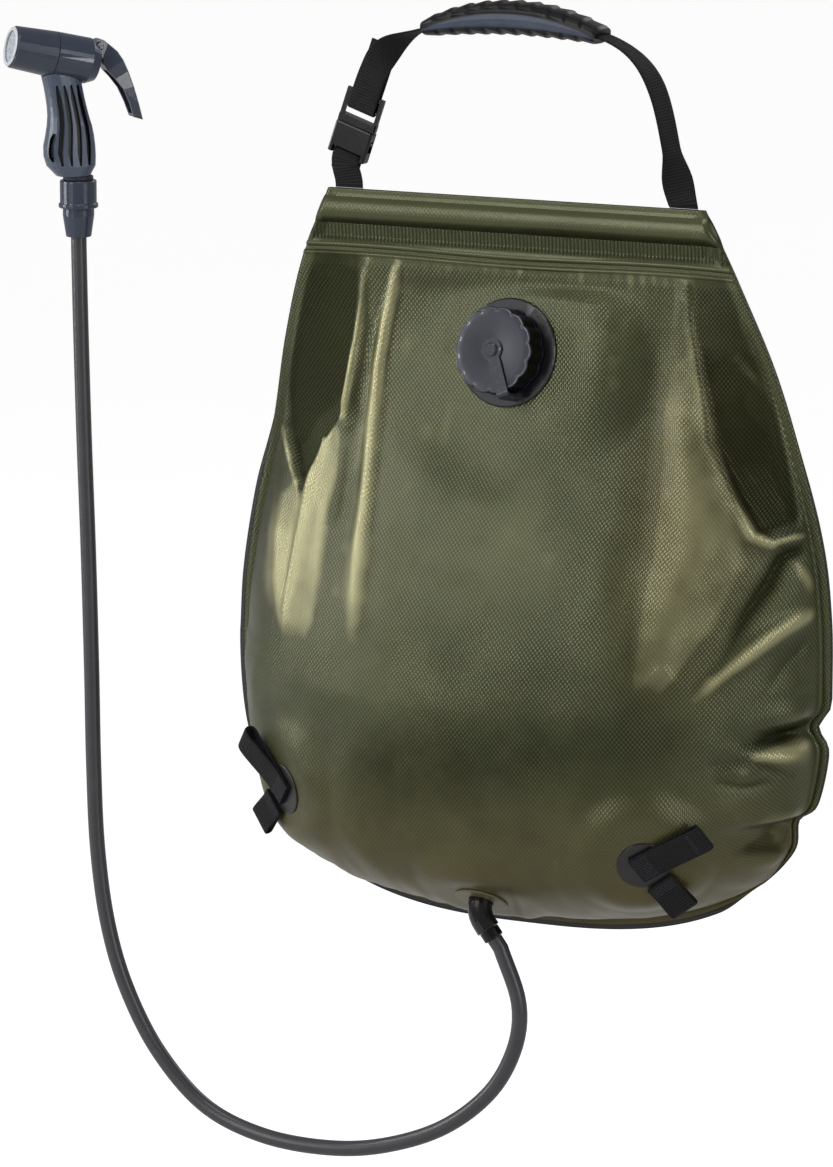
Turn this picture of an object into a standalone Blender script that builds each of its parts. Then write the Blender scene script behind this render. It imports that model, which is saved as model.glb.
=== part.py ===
"""Camp shower bag: a hanging water bag with a carrying handle, a screw filler, a hose and a shower head.

Metres, +Z up. The bag faces -Y and +X is to its right. The origin is under the middle of the grip,
where a hook or a branch carries the bag.
"""

import math

import bmesh
import bpy
from mathutils import Matrix, Vector

# Clearances and cuts
SEAT_GAP = 0.0003
RUNNING_GAP = 0.0005
CUT_OVERRUN = 0.002
EDGE_ROUND = 0.0008
MERGE = 0.00001

# Bag
BAG_TOP = -0.1335
BAG_HEIGHT = 0.603
BAG_HALF_WIDTH = 0.262
BAG_WALL = 0.0012
BAG_FRONT_DEPTH = 0.132
BAG_BACK_DEPTH = 0.050
BAG_SEAM_BACK = 0.036
WELD_WIDTH = 0.009
HEM_HEIGHT = 0.066
SIDE_HEIGHT_SHARES = (0.0, 0.09, 0.205, 0.326, 0.45, 0.55, 0.64)
SIDE_WIDTH_SHARES = (0.637, 0.735, 0.83, 0.90, 0.970, 1.003, 1.012)
SIDE_LEAN_SHARES = (0.0, 0.011, 0.036, 0.046, 0.032, 0.013, 0.0)
BOTTOM_CORNER_POWER = 2.7
SIDE_SPLIT_SHARE = 0.70
CORNER_DEGREES = 42.0
FULLEST_SHARE = 0.70
ACROSS_POWERS = (2.3, 0.66)
UPPER_POWER = 1.8
LOWER_POWERS = (2.6, 0.62)
SEAT_BLEND = 0.022
SEAT_MARGIN = 0.003
SEAT_FADE_SHARE = 0.09

# Hem and its rod
ROD_RADIUS = 0.004
ROD_LENGTH = 0.312
ROD_DROP = 0.017
ROD_CHANNEL_HALF_HEIGHT = 0.0115
ROD_CHANNEL_POWER = 2.5
ROD_ROW_SHARES = (-0.75, -0.4, 0, 0.4, 0.75, 1.05)
CHANNEL_MARGIN = 0.015
STRAP_THICKNESS = 0.0018
STRAP_WIDTH = 0.025
STRAP_X = 0.1485
STRAP_FOOT_SHARES = ((0.98, 0.25), (0.6, 0.8))
SWING_LIFT = 0.0016

# Handle strap and grip
GRIP_LENGTH = 0.156
GRIP_RADIUS = 0.265
GRIP_DEPTH = 0.0305
GRIP_HEIGHT = 0.025
GRIP_END_HEIGHT = 0.0125
GRIP_SCALES = 11
GRIP_SCALE_STEP = 0.0017
GRIP_SCALE_TIP_SHARE = 0.78
GRIP_SCALE_POWER = 0.3
GRIP_BAND = 0.0008
GRIP_BAND_SHARES = (0.125, 0.375)
GRIP_BAND_EDGE_SHARE = 0.14
GRIP_SWELL_POWER = 2.2
GRIP_ROUND_POWERS = (0.72, 0.82)
EARLY_TWIST_SHARE = 0.88
SHOULDER_SHARES = (0.46, 0.42)
TAIL_LENGTH = 0.056
TAIL_LEAN_DEGREES = 2.0

# Buckle
BUCKLE_X = -0.1415
BUCKLE_Z = -0.0820
BUCKLE_TILT_DEGREES = 19.0
BUCKLE_WIDTH = 0.0345
BUCKLE_THICKNESS = 0.0105
FEMALE_LENGTH = 0.0270
FEMALE_WALL = 0.0022
SHOULDER_LENGTH = 0.0065
LADDER_LENGTH = 0.0185
BAR_THICKNESS = 0.0034
LADDER_RAIL = 0.0032
PRONG_LENGTH = 0.0175
PRONG_WIDTH = 0.0046
PRONG_CLEARANCE = 0.0008
PRONG_THICKNESS = 0.0052
PRONG_BARB = 0.0030
BARB_START = 0.0080
BARB_SLOPE = 0.0010
WINDOW_LENGTH = 0.0100
CAVITY_DEPTH = 0.0190
STRAP_SLOT_WALL = 0.0016
STRAP_SLOT_SIDE = 0.0010
GUIDE_WIDTH = 0.0060
GUIDE_LENGTH = 0.0160
LOWER_TAIL_LENGTH = 0.0150

# Filler neck, cap and tether
FILLER_X = 0.003
FILLER_DROP = 0.1245
FILLER_LIFT = 0.006
FILLER_TILT_DEGREES = 13.0
FILLER_YAW_DEGREES = 5.0
FLANGE_RADIUS = 0.0445
FLANGE_THICKNESS = 0.003
FLANGE_CHAMFER = 0.0012
NECK_RADIUS = 0.0264
NECK_BORE_RADIUS = 0.0240
NECK_HEIGHT = 0.0175
THREAD_GAP = 0.0020
CAP_RADIUS = 0.0355
CAP_TOP_WALL = 0.003
CAP_ROUND = 0.0018
CAP_LOBES = 14
CAP_LOBE_DEPTH = 0.0017
CAP_LOBE_POWER = 0.8
CAP_FLANGE_GAP = 0.0009
GASKET_THICKNESS = 0.0022
PIN_RADIUS = 0.0030
PIN_HEAD_RADIUS = 0.0056
PIN_HEAD_HEIGHT = 0.0014
PIN_HEAD_TOP_SHARE = 0.8
PIN_CATCH_RADIUS = 0.0043
PIN_CATCH_HEIGHT = 0.0016
TETHER_RING_RADIUS = 0.0092
TETHER_START_SHARES = (0.55, 1.5)
TETHER_WIDTH = 0.0104
TETHER_THICKNESS = 0.0018
TETHER_ANGLE_DEGREES = -68.0
TETHER_REACH = 0.0392
TETHER_BEND = 0.0030

# Outlet
OUTLET_X = -0.003
OUTLET_RISE = 0.036
OUTLET_RING_RADIUS = 0.022
OUTLET_RING_THICKNESS = 0.0018
OUTLET_BORE_RADIUS = 0.0048
ELBOW_RADIUS = 0.0100
ELBOW_OUT = 0.012
ELBOW_DOWN = 0.0160
HOSE_FALL_DEGREES = 53.0
FERRULE_RADIUS = 0.0084
FERRULE_LENGTH = 0.0085
HOSE_RADIUS = 0.0065

# Hook-and-loop tabs
PATCH_RADIUS = 0.0216
PATCH_THICKNESS = 0.0014
LEFT_PATCH_X = -0.180
LEFT_PATCH_RISE = 0.111
RIGHT_PATCH_X = 0.147
RIGHT_PATCH_RISE = 0.083
TAB_STRAP = 0.0016
TAB_WIDTH = 0.025
UPPER_TAB_LENGTH = 0.066
LOWER_TAB_LENGTH = 0.034
RIGHT_UPPER_DEGREES = 24.0
LEFT_UPPER_DEGREES = 142.0
RIGHT_LOWER_DEGREES = -60.0
LEFT_LOWER_DEGREES = -132.0
UPPER_ROOT_BACK = 0.007
LOWER_ROOT_OUT = 0.0195
UPPER_FOLD_RADIUS = 0.0026
LOWER_FOLD_RADIUS = 0.0026

# Shower head, in its own frame: x runs away from the nozzle, z runs up, the origin is under the hose nut
HEAD_TURN_DEGREES = 46.0
HOSE_NUT_HEIGHT = 0.0235
HOSE_NUT_LOW_RADIUS = 0.0104
HOSE_NUT_TOP_RADIUS = 0.0130
TAIL_RADIUS = 0.0046
COLLAR_HEIGHT = 0.0230
COLLAR_RADIUS = 0.0152
COLLAR_RIDGE = 0.0012
COLLAR_RIDGE_HEIGHT = 0.0042
SEAL_RADIUS = 0.0125
SEAL_HEIGHT = 0.0032
HANDLE_HEIGHT = 0.0900
HANDLE_WIDTH = 0.0432
HANDLE_DEPTH = 0.0270
HANDLE_HEIGHT_SHARES = (0.0, 0.05, 0.22, 0.42, 0.57, 0.78, 1.0)
HANDLE_NOZZLE_SHARES = (-0.42, -0.56, -0.67, -0.60, -0.575, -0.63, -0.73)
HANDLE_LEVER_SHARES = (0.22, 0.31, 0.33, 0.28, 0.19, 0.09, 0.02)
HANDLE_DEPTH_SHARES = (0.84, 0.95, 1.0, 0.97, 0.93, 0.90, 0.96)
HANDLE_WALL = 0.0026
HANDLE_ROUND_POWER = 0.72
SLOT_WIDTH = 0.0042
SLOT_PLACE_SHARES = (0.24, 0.43, 0.62, 0.81)
SLOT_HEIGHT_SHARES = (0.10, 0.84)
SLOT_END_SHARE = 0.45
SMALL_SLOT_PLACE_SHARE = 0.09
SMALL_SLOT_HEIGHT_SHARES = (0.14, 0.40)
WATERWAY_RADIUS = 0.0030
BARREL_FALL_DEGREES = 12.3
BARREL_CENTRE_X = -0.0150
BARREL_OVER_HANDLE = 0.0089
BARREL_RADIUS = 0.0190
BARREL_FRONT_RADIUS = 0.0174
BARREL_REAR_RADIUS = 0.0155
BARREL_SPLIT = 0.0055
BARREL_REAR = 0.0315
BARREL_CHAMFER = 0.0075
BARREL_BORE_RADIUS = 0.0122
REAR_WALL = 0.0080
SPIGOT_RADIUS = 0.0154
SPIGOT_LENGTH = 0.0130
SLEEVE_LENGTH = 0.0357
SLEEVE_FRONT_WALL = 0.0030
SLEEVE_MOUTH_RADIUS = 0.0128
SPRAY_RADIUS = 0.0140
SPRAY_THICKNESS = 0.0024
SPRAY_HOLE_RADIUS = 0.0009
SPRAY_HOLES = 6
SPRAY_HOLE_RINGS_SHARES = (0.35, 0.65)
SPRAY_RING_WALL = 0.0032
SPRAY_RING_LIP = 0.0008
SPRAY_RING_HEIGHT = 0.0016
STEM_RADIUS = 0.0030
VALVE_RADIUS = 0.0098
VALVE_THICKNESS = 0.0030
SPRING_RADIUS = 0.0066
SPRING_WIRE = 0.0005
SPRING_TURNS = 5
RETAINER_THICKNESS = 0.0022
RETAINER_BORE_RADIUS = 0.0050
STEM_REACH = 0.0038
LEVER_HEAD_RADIUS = 0.0060
LEVER_HEAD_WIDTH = 0.0130
LEVER_WALL = 0.0024
LEVER_PIN_RADIUS = 0.0016
LEVER_PIN_BACK = 0.0314
LEVER_PIN_UP = 0.0136
EAR_RADIUS = 0.0042
EAR_WALL = 0.0026
LEVER_REACH = 0.0355
LEVER_DROP = 0.0613
LEVER_WIDTHS = (0.0130, 0.0130, 0.0150, 0.0180, 0.0200, 0.0200, 0.0180, 0.0150)
LEVER_OUTER_SHARES = (
    (0.03, 0.096),
    (0.18, 0.042),
    (0.406, -0.073),
    (0.524, -0.181),
    (0.631, -0.328),
    (0.763, -0.540),
    (0.890, -0.775),
    (1.0, -1.0),
)
LEVER_INNER_SHARES = (
    (0.006, -0.095),
    (0.04, -0.148),
    (0.065, -0.246),
    (0.139, -0.323),
    (0.322, -0.432),
    (0.519, -0.579),
    (0.668, -0.768),
    (0.781, -0.961),
)
LEVER_HOLLOW_FROM = 3

# Hose route: chosen points in the plane of the outlet, in metres, from the elbow to the hose nut
HOSE_ROUTE = (
    (0.0339, -0.7829),
    (0.0304, -0.8209),
    (0.0084, -0.8609),
    (-0.0336, -0.8959),
    (-0.0866, -0.9179),
    (-0.1396, -0.9269),
    (-0.2016, -0.9239),
    (-0.2556, -0.9049),
    (-0.2996, -0.8629),
    (-0.3296, -0.8109),
    (-0.3466, -0.7579),
    (-0.3556, -0.6949),
    (-0.3586, -0.6229),
    (-0.3596, -0.5429),
    (-0.3616, -0.4429),
    (-0.3646, -0.3429),
    (-0.3666, -0.2529),
)
HOSE_TOP = (-0.3676, -0.1789)
HOSE_STRAIGHT = 0.009
HOSE_POINTS = 46

# Facets
ROUND_STEPS = 36
SMALL_STEPS = 24
BODY_ROWS = 13
BODY_ROW_POWER = 1.2
BODY_COLUMNS = 16
PROFILE_POINTS = 22
SPRING_STEPS = 12
ELBOW_STEPS = 18


def clear_scene():
    for item in list(bpy.data.objects):
        bpy.data.objects.remove(item, do_unlink=True)


clear_scene()
PARTS = bpy.data.collections.new("camp_shower_bag")
CUTTERS = bpy.data.collections.new("cutters")
bpy.context.scene.collection.children.link(PARTS)
bpy.context.scene.collection.children.link(CUTTERS)


def material(name, colour, roughness, metallic=0.0):
    made = bpy.data.materials.new(name)
    made.use_nodes = True
    shader = made.node_tree.nodes["Principled BSDF"]
    shader.inputs["Base Color"].default_value = (*colour, 1.0)
    shader.inputs["Roughness"].default_value = roughness
    shader.inputs["Metallic"].default_value = metallic
    return made


OLIVE = (0.098, 0.107, 0.048)
BLACK = (0.012, 0.012, 0.014)
BLUE_GREY = (0.045, 0.052, 0.068)
SLATE = (0.090, 0.115, 0.150)
STEEL = (0.50, 0.50, 0.52)
CHROME = (0.75, 0.76, 0.78)


def place(name, mesh, colour, roughness, frame=None, metallic=0.0):
    """Puts a mesh in the scene as a part of its own, in a frame, with a material of its own."""
    item = bpy.data.objects.new(name, mesh)
    PARTS.objects.link(item)
    mesh.materials.append(material(name, colour, roughness, metallic))
    if frame is not None:
        item.matrix_world = frame
    return item


def mesh_of(bm, name):
    bmesh.ops.recalc_face_normals(bm, faces=bm.faces)
    mesh = bpy.data.meshes.new(name)
    bm.to_mesh(mesh)
    bm.free()
    mesh.shade_smooth()
    mesh.set_sharp_from_angle(angle=math.radians(35))
    return mesh


def frame_at(point, turn=None):
    """A frame at a point, turned by a 3x3 matrix."""
    made = Matrix.Translation(Vector(point))
    return made @ turn.to_4x4() if turn is not None else made


def axes_frame(point, along_x, along_z):
    """A frame at a point, with its z along one direction and its x near another."""
    z = Vector(along_z).normalized()
    y = z.cross(Vector(along_x)).normalized()
    x = y.cross(z)
    return frame_at(point, Matrix((x, y, z)).transposed())


def box_mesh(name, low, high):
    bm = bmesh.new()
    bmesh.ops.create_cube(bm, size=1)
    size = Vector(high) - Vector(low)
    middle = (Vector(high) + Vector(low)) / 2
    for vert in bm.verts:
        vert.co = Vector((vert.co.x * size.x, vert.co.y * size.y, vert.co.z * size.z)) + middle
    return mesh_of(bm, name)


def rod_mesh(name, radius, low, high, steps=SMALL_STEPS, top_radius=None):
    """A round bar along z, from low to high, tapered where its top radius differs."""
    bm = bmesh.new()
    top = radius if top_radius is None else top_radius
    bmesh.ops.create_cone(bm, cap_ends=True, segments=steps, radius1=radius, radius2=top, depth=high - low)
    bmesh.ops.translate(bm, verts=bm.verts, vec=(0, 0, (low + high) / 2))
    return mesh_of(bm, name)


def loft_mesh(name, rings, caps=True):
    """A skin over rings of equally many points, closed at both ends."""
    bm = bmesh.new()
    rows = [[bm.verts.new(point) for point in ring] for ring in rings]
    count = len(rows[0])
    for low, high in zip(rows, rows[1:]):
        for i in range(count):
            j = (i + 1) % count
            bm.faces.new((low[i], low[j], high[j], high[i]))
    if caps:
        bm.faces.new(list(reversed(rows[0])))
        bm.faces.new(rows[-1])
    return mesh_of(bm, name)


def outline_mesh(name, points, half_depth):
    """A flat outline in x and z, thickened to both sides along y."""
    bm = bmesh.new()
    front = [bm.verts.new((x, -half_depth, z)) for x, z in points]
    back = [bm.verts.new((x, half_depth, z)) for x, z in points]
    bm.faces.new(front)
    bm.faces.new(list(reversed(back)))
    for i in range(len(points)):
        j = (i + 1) % len(points)
        bm.faces.new((front[i], back[i], back[j], front[j]))
    return mesh_of(bm, name)


def turned(name, profile, colour, roughness, frame=None, steps=ROUND_STEPS, metallic=0.0):
    """A turned shape round z. Its closed profile runs down its outer side and up its bore."""
    mesh = bpy.data.meshes.new(name)
    points = [(radius, 0, height) for radius, height in profile]
    closed = min(radius for radius, height in profile) > 0
    edges = [(i, i + 1) for i in range(len(points) - 1)]
    if closed:
        edges.append((len(points) - 1, 0))
    mesh.from_pydata(points, edges, [])
    item = place(name, mesh, colour, roughness, frame, metallic)
    screw = item.modifiers.new("Turn", "SCREW")
    screw.axis = "Z"
    screw.steps = steps
    screw.render_steps = steps
    screw.use_merge_vertices = True
    screw.merge_threshold = MERGE
    screw.use_smooth_shade = True
    return item


def cutter(name, mesh, frame=None):
    item = bpy.data.objects.new(name, mesh)
    CUTTERS.objects.link(item)
    item.hide_render = True
    item.display_type = "WIRE"
    if frame is not None:
        item.matrix_world = frame
    return item


def combine(item, other, operation="DIFFERENCE"):
    change = item.modifiers.new(other.name, "BOOLEAN")
    change.operation = operation
    change.solver = "EXACT"
    change.object = other


def rounded(item, width, segments=2, angle=40):
    bevel = item.modifiers.new("Rounded edges", "BEVEL")
    bevel.width = width
    bevel.segments = segments
    bevel.limit_method = "ANGLE"
    bevel.angle_limit = math.radians(angle)


def smooth_step(share):
    share = min(max(share, 0.0), 1.0)
    return share * share * (3 - 2 * share)


def through(points, count):
    """Evenly spaced points on a smooth curve through chosen points of any dimension."""
    size = len(points[0])
    spans = [math.dist(a, b) ** 0.5 for a, b in zip(points, points[1:])]
    times = [sum(spans[:i]) for i in range(len(points))]

    def ends(i):
        low, high = max(i - 1, 0), min(i + 1, len(points) - 1)
        return [(points[high][k] - points[low][k]) / (times[high] - times[low]) for k in range(size)]

    dense = []
    parts = 24
    for i in range(len(points) - 1):
        span = times[i + 1] - times[i]
        start, stop = ends(i), ends(i + 1)
        for j in range(parts):
            t = j / parts
            h = (2 * t**3 - 3 * t**2 + 1, t**3 - 2 * t**2 + t, 3 * t**2 - 2 * t**3, t**3 - t**2)
            dense.append(
                [
                    h[0] * points[i][k]
                    + h[1] * span * start[k]
                    + h[2] * points[i + 1][k]
                    + h[3] * span * stop[k]
                    for k in range(size)
                ]
            )
    dense.append(list(points[-1]))
    reach = [0.0]
    for a, b in zip(dense, dense[1:]):
        reach.append(reach[-1] + math.dist(a, b))
    spaced = []
    j = 0
    for i in range(count):
        target = reach[-1] * i / (count - 1)
        while j < len(reach) - 2 and reach[j + 1] < target:
            j += 1
        part = (target - reach[j]) / (reach[j + 1] - reach[j])
        spaced.append([a + (b - a) * part for a, b in zip(dense[j], dense[j + 1])])
    return spaced


def between(value, places, values):
    """The value at a place, on a smooth curve through places and values."""
    for i in range(len(places) - 1):
        if value <= places[i + 1] or i == len(places) - 2:
            break
    span = places[i + 1] - places[i]

    def slope(j):
        low, high = max(j - 1, 0), min(j + 1, len(places) - 1)
        return (values[high] - values[low]) / (places[high] - places[low])

    t = (value - places[i]) / span
    return (
        (2 * t**3 - 3 * t**2 + 1) * values[i]
        + (t**3 - 2 * t**2 + t) * span * slope(i)
        + (3 * t**2 - 2 * t**3) * values[i + 1]
        + (t**3 - t**2) * span * slope(i + 1)
    )


# The bag's outline and its two bulging panels

BOTTOM_SHARE = SIDE_HEIGHT_SHARES[-1]
CORNER_ANGLE = math.radians(CORNER_DEGREES)
ROD_Z = BAG_TOP - ROD_DROP
ROD_CHANNEL_LENGTH = 2 * (STRAP_X + STRAP_WIDTH / 2 + CHANNEL_MARGIN)
HINGE_Z = BAG_TOP + SWING_LIFT
STRAP_SLOT = STRAP_THICKNESS / 2 + SEAT_GAP
ROD_LOOP_RADIUS = ROD_RADIUS + SEAT_GAP + STRAP_THICKNESS


def round_corner(angle):
    """A point of the rounded lower outline, as shares of the bag's half width and height."""
    power = 2 / BOTTOM_CORNER_POWER
    cos, sin = math.cos(angle), math.sin(angle)
    across = SIDE_WIDTH_SHARES[-1] * math.copysign(abs(cos) ** power, cos)
    return across, BOTTOM_SHARE + (1 - BOTTOM_SHARE) * max(sin, 0.0) ** power


def outline_point(u, v):
    """A point of the flat bag: u runs from its left seam to its right one, v from its top to its bottom."""
    if v < SIDE_SPLIT_SHARE:
        drop = BOTTOM_SHARE * v / SIDE_SPLIT_SHARE
        half = between(drop, SIDE_HEIGHT_SHARES, SIDE_WIDTH_SHARES)
        lean = between(drop, SIDE_HEIGHT_SHARES, SIDE_LEAN_SHARES)
    else:
        half, drop = round_corner(CORNER_ANGLE * (v - SIDE_SPLIT_SHARE) / (1 - SIDE_SPLIT_SHARE))
        lean = 0.0
    corner_across, corner_drop = round_corner(CORNER_ANGLE)
    low_across, low_drop = round_corner(CORNER_ANGLE + (math.pi - 2 * CORNER_ANGLE) * u)
    pull = v**3
    across = half * (2 * u - 1) - (low_across + corner_across * (2 * u - 1)) * pull
    drop += (low_drop - corner_drop) * pull
    return BAG_HALF_WIDTH * (across + lean), BAG_TOP - BAG_HEIGHT * drop


def row_at(drop):
    """The v of a place on the side seam, from its drop under the bag's top."""
    return drop * SIDE_SPLIT_SHARE / (BOTTOM_SHARE * BAG_HEIGHT)


HEM_ROW = row_at(HEM_HEIGHT)
FULLEST_ROW = row_at(BAG_HEIGHT * FULLEST_SHARE)
LOWEST_ROW = 1 - row_at(WELD_WIDTH)


def fullness(u, v):
    """How far a panel stands out at a place, from 0 at the weld to 1 at the fullest."""
    inside = min(max(0.5 + (u - 0.5) / (1 - WELD_WIDTH / BAG_HALF_WIDTH), 0.0), 1.0)
    across = (1 - abs(2 * inside - 1) ** ACROSS_POWERS[0]) ** ACROSS_POWERS[1]
    if v <= HEM_ROW or v >= LOWEST_ROW:
        return 0.0
    if v < FULLEST_ROW:
        down = math.sin(math.pi / 2 * (v - HEM_ROW) / (FULLEST_ROW - HEM_ROW)) ** UPPER_POWER
    else:
        low = ((v - FULLEST_ROW) / (LOWEST_ROW - FULLEST_ROW)) ** LOWER_POWERS[0]
        down = (1 - low) ** LOWER_POWERS[1]
    return across * down


def seam_y(v):
    return BAG_SEAM_BACK * smooth_step((v - HEM_ROW) / (FULLEST_ROW - HEM_ROW))


def rod_channel(x, z):
    """How far the hem stands off its middle plane, for the strap slot and the channel of the rod."""
    off = abs(z - ROD_Z) / ROD_CHANNEL_HALF_HEIGHT
    slot = STRAP_SLOT if z > ROD_Z else SEAT_GAP / 2
    if off >= 1:
        return slot
    beyond = ROD_CHANNEL_LENGTH / 2 + ROD_CHANNEL_HALF_HEIGHT - abs(x)
    ends = smooth_step(beyond / ROD_CHANNEL_HALF_HEIGHT)
    high = (ROD_LOOP_RADIUS + SEAT_GAP) * (1 - off**ROD_CHANNEL_POWER) * ends
    return max(slot, high)


def panel_point(u, v, front):
    """A point on the inner face of the front or the back panel."""
    x, z = outline_point(u, v)
    way = -1 if front else 1
    depth = BAG_FRONT_DEPTH if front else BAG_BACK_DEPTH
    if v < HEM_ROW:
        return Vector((x, way * rod_channel(x, z), z))
    y = seam_y(v) + way * (SEAT_GAP / 2 + depth * fullness(u, v))
    return Vector((x, y, z))


def panel_normal(u, v, front):
    step = 0.01
    along = panel_point(min(u + step, 1), v, front) - panel_point(max(u - step, 0), v, front)
    down = panel_point(u, min(v + step, 1), front) - panel_point(u, max(v - step, 0), front)
    normal = along.cross(down).normalized()
    return -normal if (normal.y > 0) == front else normal


def find_place(x, drop, front=True):
    """The u and v of a place on a panel, from its x and its drop under the bag's top."""
    u, v = 0.5, drop / BAG_HEIGHT
    for _ in range(80):
        here = panel_point(u, v, front)
        u = min(max(u + (x - here.x) / (8 * BAG_HALF_WIDTH), 0.02), 0.98)
        v = min(max(v + (drop - (BAG_TOP - here.z)) / BAG_HEIGHT, 0.02), 0.98)
    return u, v


def seat(x, drop, radius, normal=None, lift=0.0):
    """A flat place on the front panel for a disc: its centre, its outward axis and its radius."""
    u, v = find_place(x, drop)
    outward = Vector(normal).normalized() if normal else panel_normal(u, v, True)
    centre = panel_point(u, v, True) + outward * (BAG_WALL + lift)
    return centre, outward, radius


def tilted(yaw, tilt):
    """A direction out of the bag's front, yawed towards +X and tilted up, in degrees."""
    a, e = math.radians(yaw), math.radians(tilt)
    return Vector((math.sin(a) * math.cos(e), -math.cos(a) * math.cos(e), math.sin(e)))


FILLER_WAY = tilted(-FILLER_YAW_DEGREES, FILLER_TILT_DEGREES)
FILLER_SEAT = seat(FILLER_X, FILLER_DROP, FLANGE_RADIUS, FILLER_WAY, FILLER_LIFT)
OUTLET_SEAT = seat(OUTLET_X, BAG_HEIGHT - OUTLET_RISE, OUTLET_RING_RADIUS)
LEFT_SEAT = seat(LEFT_PATCH_X, BAG_HEIGHT - LEFT_PATCH_RISE, PATCH_RADIUS)
RIGHT_SEAT = seat(RIGHT_PATCH_X, BAG_HEIGHT - RIGHT_PATCH_RISE, PATCH_RADIUS)
SEATS = (FILLER_SEAT, OUTLET_SEAT, LEFT_SEAT, RIGHT_SEAT)


def flattened(point, full):
    """Draws a point of the front panel onto the flat seat of a fitting near it, but never at a weld."""
    hold = smooth_step(full**0.5 / SEAT_FADE_SHARE)
    for centre, outward, radius in SEATS:
        inner = centre - outward * BAG_WALL
        offset = point - inner
        height = offset.dot(outward)
        across = outward.cross(Vector((0, 0, 1))).normalized()
        away = max(abs(offset.dot(across)), abs(offset.dot(across.cross(outward))))
        share = hold * (1 - smooth_step((away - radius - 2 * SEAT_MARGIN) / SEAT_BLEND))
        point = point - outward * (height * share)
    return point


def snapped(places, wanted):
    """Evenly spread places, with the nearest one moved to each wanted place."""
    made = list(places)
    for value in wanted:
        nearest = min(range(1, len(made) - 1), key=lambda i: abs(made[i] - value))
        made[nearest] = value
    return sorted(made)


def filler_edges():
    """The u and v of the lines that pass just outside the filler's flange."""
    reach = FLANGE_RADIUS + SEAT_MARGIN
    columns = [find_place(FILLER_X + way * reach, FILLER_DROP)[0] for way in (-1, 1)]
    rows = [find_place(FILLER_X, FILLER_DROP + way * reach)[1] for way in (-1, 1)]
    return columns, rows


def panel_rows():
    """The v of each row of the panels: close together over the rod, and even below the hem."""
    drops = [0.0, ROD_DROP - ROD_CHANNEL_HALF_HEIGHT, HEM_HEIGHT - WELD_WIDTH]
    drops += [ROD_DROP + ROD_CHANNEL_HALF_HEIGHT * share for share in ROD_ROW_SHARES]
    below = []
    for i in range(BODY_ROWS + 1):
        even = 1 - (1 - i / BODY_ROWS) ** BODY_ROW_POWER
        below.append(HEM_ROW + (LOWEST_ROW - HEM_ROW) * even)
    below = snapped(below, filler_edges()[1])
    return sorted([row_at(drop) for drop in drops] + below + [1.0])


def panel_columns():
    edge = WELD_WIDTH / (2 * BAG_HALF_WIDTH)
    spread = []
    for i in range(BODY_COLUMNS + 1):
        even = i / BODY_COLUMNS
        crowded = 0.5 - 0.5 * math.cos(math.pi * even)
        spread.append(edge + (1 - 2 * edge) * (crowded + 2 * even) / 3)
    return [0.0] + snapped(spread, filler_edges()[0]) + [1.0]


def panel(name, front, colour, roughness):
    """One bulging panel: an open surface, thickened outwards."""
    columns, rows = panel_columns(), panel_rows()
    bm = bmesh.new()
    grid = []
    for v in rows:
        line = []
        for u in columns:
            point = panel_point(u, v, front)
            line.append(bm.verts.new(flattened(point, fullness(u, v)) if front else point))
        grid.append(line)
    for low, high in zip(grid, grid[1:]):
        for i in range(len(columns) - 1):
            bm.faces.new((low[i], low[i + 1], high[i + 1], high[i]))
    mesh = bpy.data.meshes.new(name)
    bm.to_mesh(mesh)
    bm.free()
    if front:
        mesh.flip_normals()
    mesh.shade_smooth()
    item = place(name, mesh, colour, roughness)
    shell = item.modifiers.new("Wall", "SOLIDIFY")
    shell.thickness = BAG_WALL
    shell.offset = 1
    return item


def build_bag():
    front = panel("front_panel", True, OLIVE, 0.42)
    panel("back_panel", False, BLACK, 0.5)
    for name, item_seat, radius in (
        ("filler hole", FILLER_SEAT, NECK_BORE_RADIUS + CUT_OVERRUN),
        ("outlet hole", OUTLET_SEAT, OUTLET_BORE_RADIUS + CUT_OVERRUN),
    ):
        centre, outward, _ = item_seat
        hole = rod_mesh(name, radius, -radius, radius)
        combine(front, cutter(name, hole, axes_frame(centre, (1, 0, 0), outward)))


def ribbon_rings(stations, width, thickness):
    """Rectangular rings along a strap, from its (point, width direction, thickness direction) stations."""
    rings = []
    for point, across, out in stations:
        w, t = across * width / 2, out * thickness / 2
        rings.append((point - w - t, point + w - t, point + w + t, point - w + t))
    return rings


def bezier(start, start_way, end, end_way, count):
    """Points and tangents of a cubic curve from one point and direction to another."""
    reach = (end - start).length
    a = start + start_way * (reach * SHOULDER_SHARES[0])
    b = end - end_way * (reach * SHOULDER_SHARES[1])
    made = []
    for i in range(count + 1):
        t = i / count
        point = start * (1 - t) ** 3 + a * (3 * t * (1 - t) ** 2) + b * (3 * t * t * (1 - t)) + end * t**3
        way = (a - start) * (1 - t) ** 2 + (b - a) * (2 * t * (1 - t)) + (end - b) * t**2
        made.append((point, way.normalized()))
    return made


# Handle strap: up from the right end of the hem, through the grip, down to the buckle and back as a tail

Y_AXIS = Vector((0, 1, 0))
BUCKLE_TILT = math.radians(BUCKLE_TILT_DEGREES)
BUCKLE_UP = Vector((math.sin(BUCKLE_TILT), 0, math.cos(BUCKLE_TILT)))
BUCKLE_ACROSS = Vector((BUCKLE_UP.z, 0, -BUCKLE_UP.x))
BUCKLE_POINT = Vector((BUCKLE_X, 0, BUCKLE_Z))
GRIP_HALF_ANGLE = GRIP_LENGTH / (2 * GRIP_RADIUS)
LAYER = BAR_THICKNESS / 2 + SEAT_GAP + STRAP_THICKNESS / 2


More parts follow.
